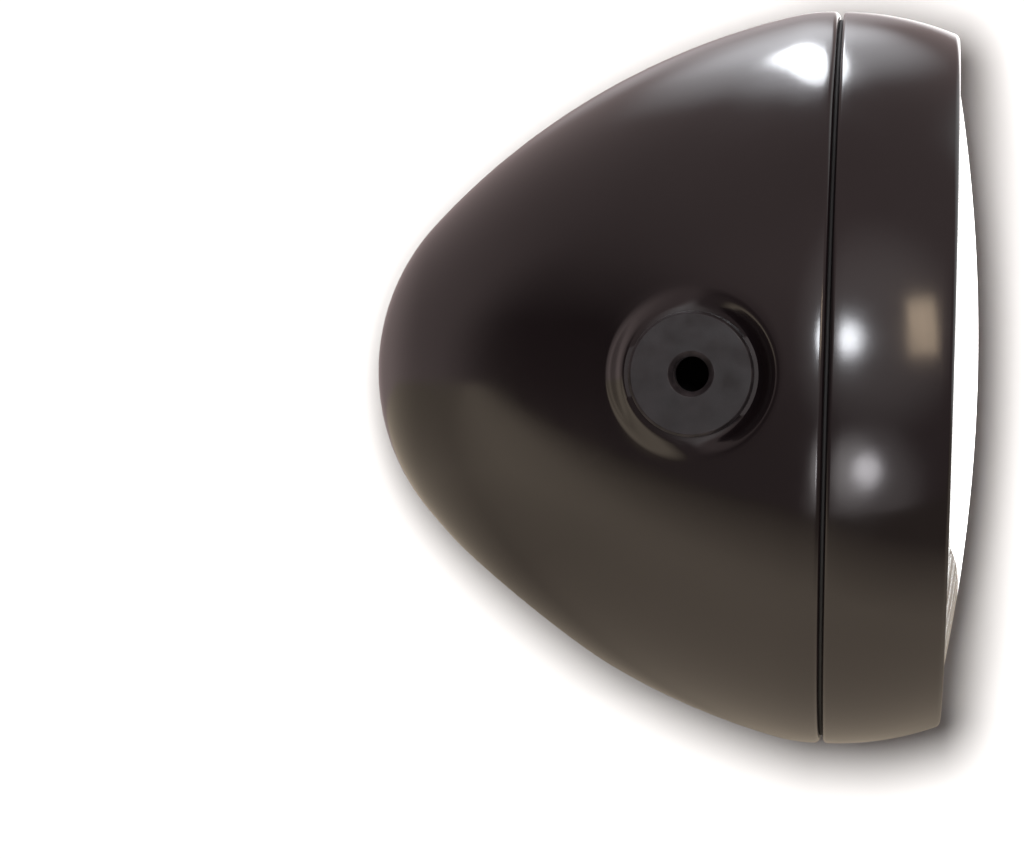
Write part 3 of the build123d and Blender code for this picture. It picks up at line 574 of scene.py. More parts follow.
def moulded_mount(colours):
    """Matt moulding with cloudy marks, pale scuffed edges and a painted highlight on the chamfer at
    the mouth of its hole.
    """
    finish = Finish("moulded_mount", colours.mount, 0.5)
    finish.set("Specular IOR Level", 0.24)
    radius = from_mount_axis(finish)
    body = finish.clouded(colours.mount, 0.6, 1.6, 110.0, 6.0)
    edge = finish.between(radius, 0.0, 1.0, *RUBBED_EDGE)
    # Painted highlight: the chamfer at the mouth of the hole is made paler all round.
    mouth = finish.between(radius, 1.0, 0.0, *MOUTH_GLINT)
    wear_and_glint = finish.reckon("MAXIMUM", edge, mouth)
    patchy_mark = finish.times(wear_and_glint, finish.between(finish.noise(300.0, 4.0), 0.0, 0.8, 0.45, 0.65))
    # Paler where the edge is scuffed and where the highlight is painted, in patches.
    finish.set("Base Color", finish.blend(patchy_mark, body, shade_of(colours.mount, 3.0)))
    finish.uneven(0.36, 0.55, 210.0, 4.0)
    finish.grain(0.012 * MM, 2600.0)
    return finish.material


def rubber(colours):
    finish = Finish("black_rubber", colours.rubber, 0.75)
    finish.set("Base Color", finish.clouded(colours.rubber, 0.8, 1.5, 160.0, 5.0))
    finish.uneven(0.62, 0.85, 300.0)
    finish.grain(0.02 * MM, 3200.0)
    return finish.material


def glass(name, colours, roughness):
    finish = Finish(name, colours.glass, roughness)
    finish.set("Transmission Weight", 1.0)
    finish.set("IOR", GLASS_INDEX)
    return finish


def clear_glass(colours):
    """Blown glass, a little wavy."""
    finish = glass("clear_glass", colours, 0.02)
    finish.uneven(0.0, 0.03, 90.0, 4.0)
    finish.grain(0.004 * MM, 120.0, 1.0)
    return finish.material


def fluted_glass(colours, sizes):
    """Pressed glass with painted shade along the ridges between the flutes and panels of its inner
    face.
    """
    finish = glass("fluted_glass", colours, 0.0)
    parts = finish.axes(finish.place)
    panel = finish.reckon("FLOOR", finish.times(parts["Z"], 1 / sizes.band))
    across = finish.reckon("MULTIPLY_ADD", panel, sizes.pitch / 2, parts["Y"])
    ridge = finish.reckon("MINIMUM", finish.reckon("PINGPONG", across, sizes.pitch / 2),
                          finish.reckon("PINGPONG", parts["Z"], sizes.band / 2))
    centre = (sizes.apex - sizes.curve, 0.0, 0.0)
    reach = finish.measure("DISTANCE", finish.place, centre)
    inner = finish.between(reach, 1.0, 0.0, *(sizes.curve - depth for depth in INNER_FACE))
    # Painted shade: the inner face is darkened along its ridges, by an amount that varies in
    # patches.
    patchy_mark = finish.between(finish.noise(180.0, 4.0), 0.55, 0.95)
    painted_ridge_shade = finish.times(finish.times(finish.between(ridge, 1.0, 0.0, *RIDGE_HALF), inner), patchy_mark)
    clear, dark = shade_of(colours.glass, 1.0), shade_of(colours.glass, 0.22)
    finish.set("Base Color", finish.blend(painted_ridge_shade, clear, dark))
    return finish.material


def mirror_coat(colours):
    """Bright coating of the bowl, with a faint bloom."""
    finish = Finish("mirror_coat", colours.mirror, 0.05, 1.0)
    finish.set("Base Color", finish.clouded(colours.mirror, 0.95, 1.04, 35.0, 5.0))
    finish.uneven(0.02, 0.05, 70.0, 5.0)
    return finish.material


def metal(name, colour, roughness):
    """Plated metal with a cloudy surface."""
    finish = Finish(name, colour, roughness, 1.0)
    finish.set("Base Color", finish.clouded(colour, 0.8, 1.12, 260.0, 5.0))
    finish.uneven(roughness - 0.08, roughness + 0.1, 400.0, 4.0)
    finish.grain(0.006 * MM, 1800.0, 3.0)
    return finish.material


def hard_plastic(colours):
    finish = Finish("dark_plastic", colours.plastic, 0.45)
    finish.set("Base Color", finish.clouded(colours.plastic, 0.8, 1.3, 240.0, 4.0))
    finish.uneven(0.36, 0.55, 500.0)
    return finish.material


def finished(name, make, *values):
    """The material of this name, made when it is first asked for."""
    return bpy.data.materials.get(name) or make(*values)


def paint_of(scene):
    return finished("gloss_black_paint", gloss_paint, scene.headlight_finishes)


def rubber_of(scene):
    return finished("black_rubber", rubber, scene.headlight_finishes)


def glass_of(scene):
    return finished("clear_glass", clear_glass, scene.headlight_finishes)


def plated(name, colour, roughness):
    return finished(name, metal, name, colour, roughness)


def zinc_of(scene):
    return plated("zinc_steel", scene.headlight_finishes.zinc, 0.34)


# Shell


class ShellProfile:
    """Shoulder, body and nose of the shell: three tangent arcs, measured from the shoulder back."""

    def __init__(self, sizes):
        self.start = sizes.front - sizes.edge_radius
        self.seam = sizes.radius
        self.shoulder = sizes.shoulder_radius
        self.nose = sizes.nose_radius
        turn = sizes.shoulder_angle
        inward = Vector((-math.sin(turn), -math.cos(turn)))
        self.shoulder_end = Vector((self.shoulder * math.sin(turn),
                                    self.seam - self.shoulder * (1 - math.cos(turn))))
        self.nose_centre = Vector((self.start - sizes.nose - self.nose, 0))
        gap = self.shoulder_end - self.nose_centre
        self.body = (self.nose ** 2 - gap.dot(gap)) / (2 * (gap.dot(inward) + self.nose))
        self.centre = self.shoulder_end + inward * self.body
        to_nose = self.nose_centre - self.centre
        self.body_end = math.atan2(to_nose.x, to_nose.y)
        self.nose_start = self.centre.x + self.body * math.sin(self.body_end)

    def radius_at(self, x):
        back = self.start - x
        if back < self.shoulder_end.x:
            return self.seam - self.shoulder + math.sqrt(self.shoulder ** 2 - back ** 2)
        if back < self.nose_start:
            return self.centre.y + math.sqrt(self.body ** 2 - (back - self.centre.x) ** 2)
        return math.sqrt(max(self.nose ** 2 - (back - self.nose_centre.x) ** 2, 0.0))

    def body_point(self, lean):
        """Point of the body whose normal leans back by this angle."""
        x = self.start - self.centre.x - self.body * math.sin(lean)
        return Vector((x, self.centre.y + self.body * math.cos(lean)))

    def lean_at(self, x):
        return math.asin((self.start - x - self.centre.x) / self.body)

    def nose_point(self, lean):
        x = self.start - self.nose_centre.x - self.nose * math.sin(lean)
        return Vector((x, self.nose * math.cos(lean)))


# Rows and columns of the sheet from the middle of a pressing's block to its edge, and cuts in each
SEAT_CELLS = 13
ENTRY_CELLS = 11
PRESS_CUTS = 1


def spread(low, high, steps):
    return [low + (high - low) * step / steps for step in range(steps + 1)]


def steps_for(run):
    return math.ceil(run / ROW)


def shell_rows(sizes, profile, reach):
    """Profile of the shell from its flange to the tip, with even rows where it is pressed."""
    rows = path((sizes.front, sizes.radius - sizes.flange), 90, sizes.flange - sizes.edge_radius,
                (sizes.edge_radius, 90))
    rows += [Vector((x, profile.radius_at(x))) for x in spread(reach, -reach, 2 * SEAT_CELLS)]
    seat_end = profile.lean_at(-reach)
    entry_end = 2 * sizes.entry_angle - seat_end
    rest = steps_for(profile.body * (profile.body_end - entry_end))
    tip = steps_for(profile.nose * (math.pi / 2 - profile.body_end))
    rows += [profile.body_point(lean) for lean in spread(seat_end, entry_end, 2 * ENTRY_CELLS)[1:]]
    rows += [profile.body_point(lean) for lean in spread(entry_end, profile.body_end, rest)[1:]]
    rows += [profile.nose_point(lean) for lean in spread(profile.body_end, math.pi / 2, tip)[1:]]
    return rows


def press_seat(bm, sizes, profile, side, reach):
    """Round flat for a side mount: proud of the shell behind the mount and sunk in front of it."""
    half_turn = SEAT_CELLS * math.tau / sizes.columns
    place = Matrix(((1, 0, 0, 0), (0, 0, side, 0), (0, -side, 0, 0), (0, 0, 0, 1)))

    def grid(point):
        return point.x / reach, -side * math.atan2(point.z, side * point.y) / half_turn

    def shape(distance, height):
        run = (distance - sizes.seat_flat) / (sizes.seat_blend - sizes.seat_flat)
        return sizes.seat_height + (height - sizes.seat_height) * flank(run)

    runs = (9, sizes.seat_hole), (4, sizes.seat_flat), (8, sizes.seat_blend), (5, reach)
    press(bm, place, grid, PRESS_CUTS, runs, profile.radius_at, shape)


def entry_place(sizes, profile):
    """Frame of the cable entry: X along the shell's profile, Z out of the shell."""
    centre = profile.body_point(sizes.entry_angle)
    turn = sizes.entry_angle
    along = Vector((math.cos(turn), 0, -math.sin(turn)))
    out = Vector((-math.sin(turn), 0, -math.cos(turn)))
    place = Matrix((along, out.cross(along), out)).transposed().to_4x4()
    place.translation = (centre.x, 0, -centre.y)
    return place


def levelled(sizes, height):
    """Height of the shell over the cable entry, cut off softly at the flat."""
    over = max(sizes.entry_bend - abs(height + sizes.entry_level), 0.0)
    return min(height, -sizes.entry_level) - over ** 2 / (4 * sizes.entry_bend)


def level_entry(bm, sizes, profile):
    """Broad flat in the round of the shell for the cable entry."""
    place = entry_place(sizes, profile)
    flatten = place.inverted()
    for vert in bm.verts:
        point = flatten @ vert.co
        point.z = levelled(sizes, point.z)
        vert.co = place @ point


def press_entry(bm, sizes, profile, reach):
    """Round recess for the cable grommet."""
    half_turn = ENTRY_CELLS * math.tau / sizes.columns
    place = entry_place(sizes, profile)
    half_lean = sizes.entry_angle - profile.lean_at(-reach)
    behind = place.col[1].y

    def grid(point):
        back = profile.start - point.x - profile.centre.x
        lean = math.atan2(back, math.hypot(point.y, point.z) - profile.centre.y)
        turn = behind * math.atan2(point.y, -point.z)
        return (sizes.entry_angle - lean) / half_lean, turn / half_turn

    def shape(distance, height):
        run = (distance - sizes.entry_flat) / (sizes.entry_blend - sizes.entry_flat)
        level = levelled(sizes, height)
        floor = -sizes.entry_level - sizes.entry_depth
        return floor + (level - floor) * ease(run)

    runs = ((9, sizes.entry_hole), (4, sizes.entry_flat - 0.3 * MM), (5, sizes.entry_blend),
            (4, profile.body * half_lean))
    press(bm, place, grid, PRESS_CUTS, runs, profile.radius_at, shape)


class HEADLIGHT_OT_shell(Operator):
    """Spins the painted shell and presses its side seats and cable entry"""
    bl_idname = "headlight.shell"
    bl_label = "Shell"

    def execute(self, context):
        sizes = context.scene.headlight_shell
        profile = ShellProfile(sizes)
        reach = profile.radius_at(0) * math.sin(SEAT_CELLS * math.tau / sizes.columns)
        bm = lathe(shell_rows(sizes, profile, reach), sizes.columns)
        level_entry(bm, sizes, profile)
        for side in (-1, 1):
            press_seat(bm, sizes, profile, side, reach)
        press_entry(bm, sizes, profile, reach)
        made = piece("painted_shell", bm, paint_of(context.scene), "gloss_black", "shell")
        sheet_wall(made, sizes.wall)
        return {"FINISHED"}


# Rim


SCREW_CELLS = 3
SCREW_CUTS = 3


def crown_at(sizes, x):
    """Radius of the rim's crowned side."""
    crown = sizes.rear + sizes.rear_radius
    return sizes.radius - sizes.crown_radius + math.sqrt(sizes.crown_radius ** 2 - (x - crown) ** 2)


def rim_rows(sizes):
    """Profile of the rim from the inner edge of its rear return to its rolled edge."""
    crown = sizes.rear + sizes.rear_radius
    inner = sizes.crown_radius - sizes.front_radius
    turn = math.asin((sizes.front - sizes.front_radius - crown) / inner)
    front = sizes.radius - sizes.crown_radius + inner * math.cos(turn)
    crown_end = crown + sizes.crown_radius * math.sin(turn)
    screw_end = 2 * sizes.screw_place - crown
    rows = path((sizes.rear, sizes.return_radius), 90,
                sizes.radius - sizes.rear_radius - sizes.return_radius, (sizes.rear_radius, -90))
    places = spread(crown, screw_end, 2 * SCREW_CELLS)[1:]
    places += spread(screw_end, crown_end, steps_for(crown_end - screw_end))[1:]
    rows += [Vector((x, crown_at(sizes, x))) for x in places]
    return rows + path(rows[-1], -math.degrees(turn), (sizes.front_radius, math.degrees(turn) - 90),
                       front - sizes.open_radius - sizes.hem_radius, (sizes.hem_radius, -90))[1:]


def screw_top():
    return -SCREW_LOW.z


def press_screw(bm, sizes):
    """Countersunk dimple for the screw at the bottom of the rim."""
    half_turn = SCREW_CELLS * math.tau / sizes.columns
    reach = sizes.screw_place - sizes.rear - sizes.rear_radius
    top = screw_top()
    place = Matrix(((1, 0, 0, sizes.screw_place), (0, -1, 0, 0), (0, 0, -1, -top), (0, 0, 0, 1)))
    room = 0.15 * MM

    def grid(point):
        return (point.x - sizes.screw_place) / reach, -math.atan2(point.y, -point.z) / half_turn

    def shape(distance, height):
        return min(height, distance - sizes.head_radius - room)

    mouth = sizes.head_radius + room + crown_at(sizes, sizes.screw_place) - top
    runs = (5, sizes.shank_radius + room), (4, mouth), (3, reach)
    press(bm, place, grid, SCREW_CUTS, runs, lambda x: crown_at(sizes, x), shape)


class HEADLIGHT_OT_rim(Operator):
    """Spins the crowned rim with its rolled edges and the dimple for its screw"""
    bl_idname = "headlight.rim"
    bl_label = "Rim"

    def execute(self, context):
        sizes = context.scene.headlight_rim
        bm = lathe(rim_rows(sizes), sizes.columns)
        press_screw(bm, sizes)
        made = piece("painted_rim", bm, paint_of(context.scene), "gloss_black", "rim")
        sheet_wall(made, sizes.wall)
        return {"FINISHED"}


class HEADLIGHT_OT_screw(Operator):
    """Turns the slotted countersunk screw of the rim"""
    bl_idname = "headlight.screw"
    bl_label = "Rim screw"

    def execute(self, context):
        sizes = context.scene.headlight_rim
        head = sizes.head_radius - sizes.shank_radius
        end = SCREW_HIGH.z - SCREW_LOW.z
        tip = 0.6 * MM
        bm = lathe([(0, 0), (0, sizes.head_radius), (-head, sizes.shank_radius),
                    (tip - end, sizes.shank_radius), (-end, sizes.shank_radius - tip),
                    (-end, 0)], 48)
        slot = block(head, 3 * sizes.head_radius, sizes.slot_width)
        bm = soften(carve(bm, slot), 0.12 * MM)
        seat = Matrix.Translation((sizes.screw_place, 0, -screw_top()))
        bm.transform(seat @ Matrix.Rotation(math.pi / 2, 4, "Y"))
        crisp_piece("slotted_screw", bm, zinc_of(context.scene), "zinc_steel", "rim_screw")
        return {"FINISHED"}


# Side mounts


def thread(sizes, mouth, end):
    """Screw surface inside the bore, along X from end to mouth."""
    steps, turns = 48, math.ceil((mouth - end) / sizes.pitch) + 2
    root = sizes.bore + sizes.thread_depth
    land = sizes.pitch / 8
    start = end - sizes.pitch
    section = [(0, sizes.bore), (land, sizes.bore), (sizes.pitch / 2, root),
               (sizes.pitch / 2 + land, root), (sizes.pitch, sizes.bore)]
    bm = bmesh.new()
    verts = [bm.verts.new((start + x, 0, radius)) for x, radius in section]
    edges = [bm.edges.new(pair) for pair in zip(verts, verts[1:])]
    bmesh.ops.spin(bm, geom=verts + edges, cent=(0, 0, 0), axis=(1, 0, 0), angle=math.tau * turns,
                   steps=steps * turns, dvec=(sizes.pitch / steps, 0, 0))
    bmesh.ops.remove_doubles(bm, verts=bm.verts, dist=MERGE)
    for place, out in ((mouth, 1), (end, -1)):
        cut_off(bm, (place, 0, 0), (out, 0, 0))
    bmesh.ops.recalc_face_normals(bm, faces=bm.faces)
    bm.faces.ensure_lookup_table()
    first = bm.faces[0]
    if first.normal.dot(first.calc_center_median() * Vector((0, 1, 1))) > 0:
        bmesh.ops.reverse_faces(bm, faces=bm.faces)
    return bm


def mount_body(sizes):
    """Turned body of a side mount, along X with its seat at the origin."""
    face = sizes.flange_thickness
    back = face + sizes.back - sizes.face
    ledge, lip = sizes.bore + sizes.thread_depth + 0.1 * MM, 0.02 * MM
    mouth = face - sizes.chamfer
    body = lathe([(mouth - lip, ledge), (mouth, sizes.bore), (face, sizes.bore + sizes.chamfer),
                  (face, sizes.flange_radius - sizes.edge),
                  (face - sizes.edge, sizes.flange_radius), (0, sizes.flange_radius),
                  (0, sizes.spigot_radius), (back, sizes.spigot_radius), (back, sizes.bore),
                  (back + lip, ledge)], 96)
    soften(body, 0.16 * MM, 3)
    return join(body, thread(sizes, mouth, back))


class HEADLIGHT_OT_mounts(Operator):
    """Turns the two threaded side mounts"""
    bl_idname = "headlight.mounts"
    bl_label = "Side mounts"

    def execute(self, context):
        sizes = context.scene.headlight_mounts
        material = finished("moulded_mount", moulded_mount, context.scene.headlight_finishes)
        for side, name in ((1, "left"), (-1, "right")):
            bm = mount_body(sizes)
            seat = Matrix.Translation((0, side * (sizes.face - sizes.flange_thickness), 0))
            bm.transform(seat @ Matrix.Rotation(side * math.pi / 2, 4, "Z"))
            crisp_piece(f"{name}_side_mount", bm, material, "matte_black", f"{name}_mount_insert")
        return {"FINISHED"}


# Rubber


def ring(low, high, inner, outer, columns=180):
    """Ring of rectangular section."""
    return lathe([(low, inner), (low, outer), (high, outer), (high, inner)], columns, closed=True)


def grommet():
    """Grommet along X, with its seat on the floor of the cable entry at the origin."""
    lip, neck, bore = 12 * MM, 8.9 * MM, 4 * MM
    front, wall, back = 1.4 * MM, 1.0 * MM, 3.0 * MM
    return lathe([(front, bore), (front, lip - front / 2), (front / 2, lip), (0, lip), (0, neck),
                  (-wall, neck), (-wall, lip), (-back, lip), (-back, bore)], 72, closed=True)


class HEADLIGHT_OT_rubber(Operator):
    """Makes the seal in the seam, the lens gasket and the cable grommet"""
    bl_idname = "headlight.rubber"
    bl_label = "Rubber parts"

    def execute(self, context):
        material = rubber_of(context.scene)
        sizes = context.scene.headlight_shell
        seal = ring(SEAL_LOW.x, SEAL_HIGH.x, SEAL_HIGH.z - 4 * MM, SEAL_HIGH.z)
        gasket = ring(GASKET_LOW.x, GASKET_HIGH.x, GASKET_HIGH.z - 3.6 * MM, GASKET_HIGH.z)
        plug = grommet()
        floor = -sizes.entry_level - sizes.entry_depth
        seat = entry_place(sizes, ShellProfile(sizes)) @ Matrix.Translation((0, 0, floor))
        plug.transform(seat @ Matrix.Rotation(-math.pi / 2, 4, "Y"))
        for name, bm, node in (("seam_seal", seal, "rim_seal"),
                               ("lens_ring", gasket, "lens_gasket"),
                               ("entry_grommet", plug, "cable_grommet")):
            crisp_piece(name, soften(bm, 0.3 * MM, 3), material, "black_rubber", node)
        dress(material, "lens_seal", "bulb_boot")
        return {"FINISHED"}


# Lens


FLUTE_CELLS = 12                # steps across one flute
BAND_CELLS = 6                  # steps up one panel


def flute_depth(sizes, y):
    """Depth of a row of shallow arcs, nought at the ridges."""
    half = sizes.pitch / 2
    radius = (half ** 2 + sizes.depth ** 2) / (2 * sizes.depth)
    offset = y % sizes.pitch - half
    return math.sqrt(radius ** 2 - offset ** 2) - radius + sizes.depth


def fluted_face(sizes, centre):
    """Inside of the dome: level panels of flutes, each half a pitch out of step with the next."""
    inner = sizes.curve - sizes.wall
    flutes = math.ceil(sizes.radius / sizes.pitch)
    bands = math.ceil(sizes.radius / sizes.band)
    columns = 2 * flutes * FLUTE_CELLS
    rows = []
    for band in range(-bands, bands):
        for lift in spread(band, band + 1, BAND_CELLS):
            rows.append((math.asin(lift * sizes.band / inner), band % 2 * sizes.pitch / 2))
    bm = bmesh.new()
    bmesh.ops.create_grid(bm, x_segments=columns, y_segments=len(rows) - 1, size=0.5)
    for vert in bm.verts:
        y = (round((vert.co.x + 0.5) * columns) / FLUTE_CELLS - flutes) * sizes.pitch
        rise, shift = rows[round((vert.co.y + 0.5) * (len(rows) - 1))]
        reach = math.sqrt(inner ** 2 - y ** 2) + flute_depth(sizes, y + shift)
        vert.co = (centre + reach * math.cos(rise), y, reach * math.sin(rise))
    bmesh.ops.remove_doubles(bm, verts=bm.verts, dist=MERGE)
    return bm


def trim_round(bm, radius, columns):
    """Cuts a sheet to a circle about the lamp's axis."""
    half = math.pi / columns
    for column in range(columns):
        turn = (2 * column + 1) * half
        out = Vector((0, -math.sin(turn), math.cos(turn)))
        cut_off(bm, out * radius * math.cos(half), out, MERGE)


def carry_on(bm, rows):
    """Extrudes the open edge of a round sheet along rows of (x, radius)."""
    edges = [edge for edge in bm.edges if edge.is_boundary]
    for x, radius in rows:
        made = bmesh.ops.extrude_edge_only(bm, edges=edges)["geom"]
        for vert in made:
            if isinstance(vert, bmesh.types.BMVert):
                share = radius / math.hypot(vert.co.y, vert.co.z)
                vert.co = (x, vert.co.y * share, vert.co.z * share)
        edges = [edge for edge in made if isinstance(edge, bmesh.types.BMEdge) and edge.is_boundary]
    bmesh.ops.remove_doubles(bm, verts=bm.verts, dist=MERGE)


def lens_glass(sizes):
    """Fluted face and smooth outside of the lens, as one closed sheet."""
    skirt = sizes.radius - sizes.flange_width
    inner = skirt - sizes.wall
    dome = math.asin((skirt - sizes.shoulder) / (sizes.curve - sizes.shoulder))
    bend = math.degrees(dome)
    corner = 0.4 * MM
    outside = path((sizes.apex, 0), 90, (sizes.curve, bend), (sizes.shoulder, 90 - bend),
                   sizes.skirt - corner, (corner, -90), sizes.flange_width - 2 * corner,
                   (corner, 90), sizes.flange_thickness - corner)
    bm = fluted_face(sizes, sizes.apex - sizes.curve)
    trim_round(bm, inner, sizes.columns)
    carry_on(bm, [(sizes.back, inner)] + outside[::-1])
    bmesh.ops.recalc_face_normals(bm, faces=bm.faces)
    return bm


class HEADLIGHT_OT_lens(Operator):
    """Presses the domed lens with its panels of flutes"""
    bl_idname = "headlight.lens"
    bl_label = "Lens"

    def execute(self, context):
        sizes = context.scene.headlight_lens
        material = finished("fluted_glass", fluted_glass, context.scene.headlight_finishes, sizes)
        piece("fluted_lens", lens_glass(sizes), material, "clear_glass", "lens")
        return {"FINISHED"}


# Light unit


def bowl_at(sizes, radius):
    """Place along the axis where the reflecting face has this radius."""
    return sizes.vertex + radius ** 2 / (4 * sizes.focal_length)


def bowl_rows(sizes):
    """Closed profile of the bowl with its cup for the lens and its seat for the bulb."""
    neck_out = sizes.neck + sizes.wall
    seat = sizes.seat + sizes.wall
    mouth = bowl_at(sizes, sizes.mouth)
    cup = sizes.cup_radius - sizes.wall
    steps = steps_for(sizes.mouth - sizes.neck)
    front = [(bowl_at(sizes, radius), radius)
             for radius in spread(sizes.neck, sizes.mouth, 2 * steps)]
    back = [(bowl_at(sizes, radius) - sizes.wall, radius)
            for radius in spread(sizes.mouth, neck_out, steps)]
    rim = [(mouth, cup), (sizes.cup_edge, cup), (sizes.cup_edge, sizes.cup_radius),
           (mouth - sizes.wall, sizes.cup_radius)]
    foot = [(seat, neck_out), (seat, sizes.seat_radius), (sizes.seat, sizes.seat_radius),
            (sizes.seat, sizes.neck)]
    return front + rim + back + foot


def pilot_place(sizes):
    """Frame of the pilot light: X out of the bowl's front, square to its face."""
    lean = math.atan2(2 * sizes.focal_length, sizes.pilot_radius)
    place = Matrix.Rotation(-lean, 4, "Y")
    place.translation = (bowl_at(sizes, sizes.pilot_radius), 0, -sizes.pilot_radius)
    return place


class HEADLIGHT_OT_reflector(Operator):
    """Spins the mirror bowl and cuts the hole for the pilot light"""
    bl_idname = "headlight.reflector"
    bl_label = "Reflector"

    def execute(self, context):
        sizes = context.scene.headlight_unit
        hole = bmesh.new()
        rod(hole, (-10 * MM, 0, 0), (10 * MM, 0, 0), sizes.pilot_hole, 48)
        hole.transform(pilot_place(sizes))
        bowl = carve(lathe(bowl_rows(sizes), sizes.columns, closed=True), hole)
        material = finished("mirror_coat", mirror_coat, context.scene.headlight_finishes)
        piece("mirror_bowl", bowl, material, "mirror_bowl", "reflector")
        return {"FINISHED"}


def capsule(radius, wall, start, tip):
    """Glass tube along X with a round closed tip."""
    outside = path((start, radius), 0, tip - radius - start, (radius, -90))
    inside = path((start, radius - wall), 0, tip - radius - start, (radius - wall, -90))
    return lathe(outside + inside[::-1], 48, closed=True)


def coil(radius, wire, half, turns):
    """Wound wire along Y, centred on the origin."""
    steps = 16
    bm = bmesh.new()
    place = Matrix.Translation((radius, -half, 0)) @ Matrix.Rotation(math.pi / 2, 4, "Z").inverted()
    made = bmesh.ops.create_circle(bm, cap_ends=False, radius=wire, segments=6, matrix=place)
    edges = list({edge for vert in made["verts"] for edge in vert.link_edges})
    bmesh.ops.spin(bm, geom=made["verts"] + edges, cent=(0, 0, 0), axis=(0, 1, 0),
                   angle=math.tau * turns, steps=steps * turns,
                   dvec=(0, 2 * half / (steps * turns), 0))
    bmesh.ops.holes_fill(bm, edges=[edge for edge in bm.edges if edge.is_boundary])
    bmesh.ops.recalc_face_normals(bm, faces=bm.faces)
    return bm


def filaments():
    """Two coils across their leads, one in front of and above the other."""
    lead, spread_y, height = 0.45 * MM, 2.6 * MM, 1.8 * MM
    radius, half = 0.75 * MM, 2.6 * MM
    front = COIL_HIGH.x - 0.9 * MM
    bm = bmesh.new()
    for x, z in ((front, height), (front - 4.8 * MM, -height)):
        join(bm, coil(radius, 0.16 * MM, half, 9), Matrix.Translation((x, 0, z)))
        for y in (-spread_y, spread_y):
            rod(bm, (COIL_LOW.x, y, z), (x + lead, y, z), lead)
    return bm


def bulb_base(seat):
    """Collar, flange and barrel of the bulb, with three lugs."""
    collar, flange, barrel, bore = 19.2 * MM, 21.5 * MM, 14.5 * MM, 8.6 * MM
    front, thickness = BASE_HIGH.x - seat, 1.2 * MM
    back = BASE_LOW.x - seat
    body = lathe([(front, bore), (front, collar), (0, collar), (0, flange), (-thickness, flange),
                  (-thickness, barrel), (back, barrel), (back, bore)], 96, closed=True)
    for turn in (90, 210, 330):
        lug = block(thickness, 5.8 * MM, 8 * MM)
        bmesh.ops.translate(lug, verts=lug.verts, vec=(-thickness / 2, flange + 0.7 * MM, 0))
        join(body, lug, Matrix.Rotation(math.radians(turn), 4, "X"))
    body.transform(Matrix.Translation((seat, 0, 0)))
    return soften(body, 0.2 * MM)


class HEADLIGHT_OT_bulb(Operator):
    """Makes the main bulb: base, glass, coils and terminals"""
    bl_idname = "headlight.bulb"
    bl_label = "Bulb"

    def execute(self, context):
        scene = context.scene
        colours = scene.headlight_finishes
        seat = scene.headlight_unit.seat
        crisp_piece("bulb_collar", bulb_base(seat), zinc_of(scene), "zinc_steel", "bulb_base")
        glass = capsule(GLASS_HIGH.z, 0.9 * MM, GLASS_LOW.x, GLASS_HIGH.x)
        piece("bulb_capsule", glass, glass_of(scene), "clear_glass", "bulb_glass")
        tungsten = plated("coil_wire", colours.spring, 0.45)
        piece("bulb_coils", filaments(), tungsten, "zinc_steel", "bulb_filaments")
        dress(zinc_of(scene), "bulb_shield")
        dress(plated("tinned_brass", colours.brass, 0.3), "bulb_terminals")
        dress(finished("dark_plastic", hard_plastic, colours), "bulb_insulator")
        return {"FINISHED"}


class HEADLIGHT_OT_pilot(Operator):
    """Makes the pilot light and its rubber holder"""
    bl_idname = "headlight.pilot"
    bl_label = "Pilot light"

    def execute(self, context):
        scene = context.scene
        sizes = scene.headlight_unit
        lip, body, bore = sizes.pilot_lip, sizes.pilot_hole, sizes.pilot_bulb + 0.1 * MM
        front, rear, end, floor = 1.2 * MM, 3.0 * MM, 13 * MM, 8.1 * MM
        ledge, catch, neck = 0.3 * MM, -1.5 * MM, body - 0.1 * MM
        holder = lathe([(-floor, 0), (-floor, bore), (front, bore), (front, lip), (ledge, lip),
                        (ledge, neck), (catch, neck), (catch, lip), (-rear, lip), (-rear, body),
                        (-end, body), (-end, 0)], 60)
        soften(holder, 0.25 * MM, 3)
        glass = capsule(sizes.pilot_bulb, 0.7 * MM, -8 * MM, 14 * MM)
        for bm in (holder, glass):
            bm.transform(pilot_place(sizes))
        crisp_piece("pilot_grommet", holder, rubber_of(scene), "black_rubber", "pilot_holder")
        piece("pilot_capsule", glass, glass_of(scene), "clear_glass", "pilot_bulb")
        return {"FINISHED"}


class HEADLIGHT_OT_fittings(Operator):
    """Finishes the plated and sprung fittings inside the lamp"""
    bl_idname = "headlight.fittings"
    bl_label = "Fittings"

    def execute(self, context):
        scene = context.scene
        steel = plated("spring_steel", scene.headlight_finishes.spring, 0.36)
        clips = [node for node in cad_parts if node.startswith("unit_clip")]
        dress(steel, "bulb_spring", *clips)
        dress(zinc_of(scene), "rim_hook", "clamp_bracket", "clamp_nut", "spring_hinge",
              "spring_catch")
        return {"FINISHED"}


# Studio


def area_light(name, place, target, width, height, level, colour=(1.0, 1.0, 1.0), shape="ELLIPSE"):
    """Soft light of a given brightness, turned to a point."""
    light = bpy.data.lights.new(name, "AREA")
    light.shape, light.size, light.size_y = shape, width, height
    fill = math.pi / 4 if shape == "ELLIPSE" else 1.0
    light.energy = level * math.pi * fill * width * height
    light.color = colour
    made = bpy.data.objects.new(name, light)
    bpy.context.scene.collection.objects.link(made)
    made.location = place
    made.rotation_euler = (Vector(target) - Vector(place)).to_track_quat("-Z", "Y").to_euler()
    made.visible_camera = False
    return made


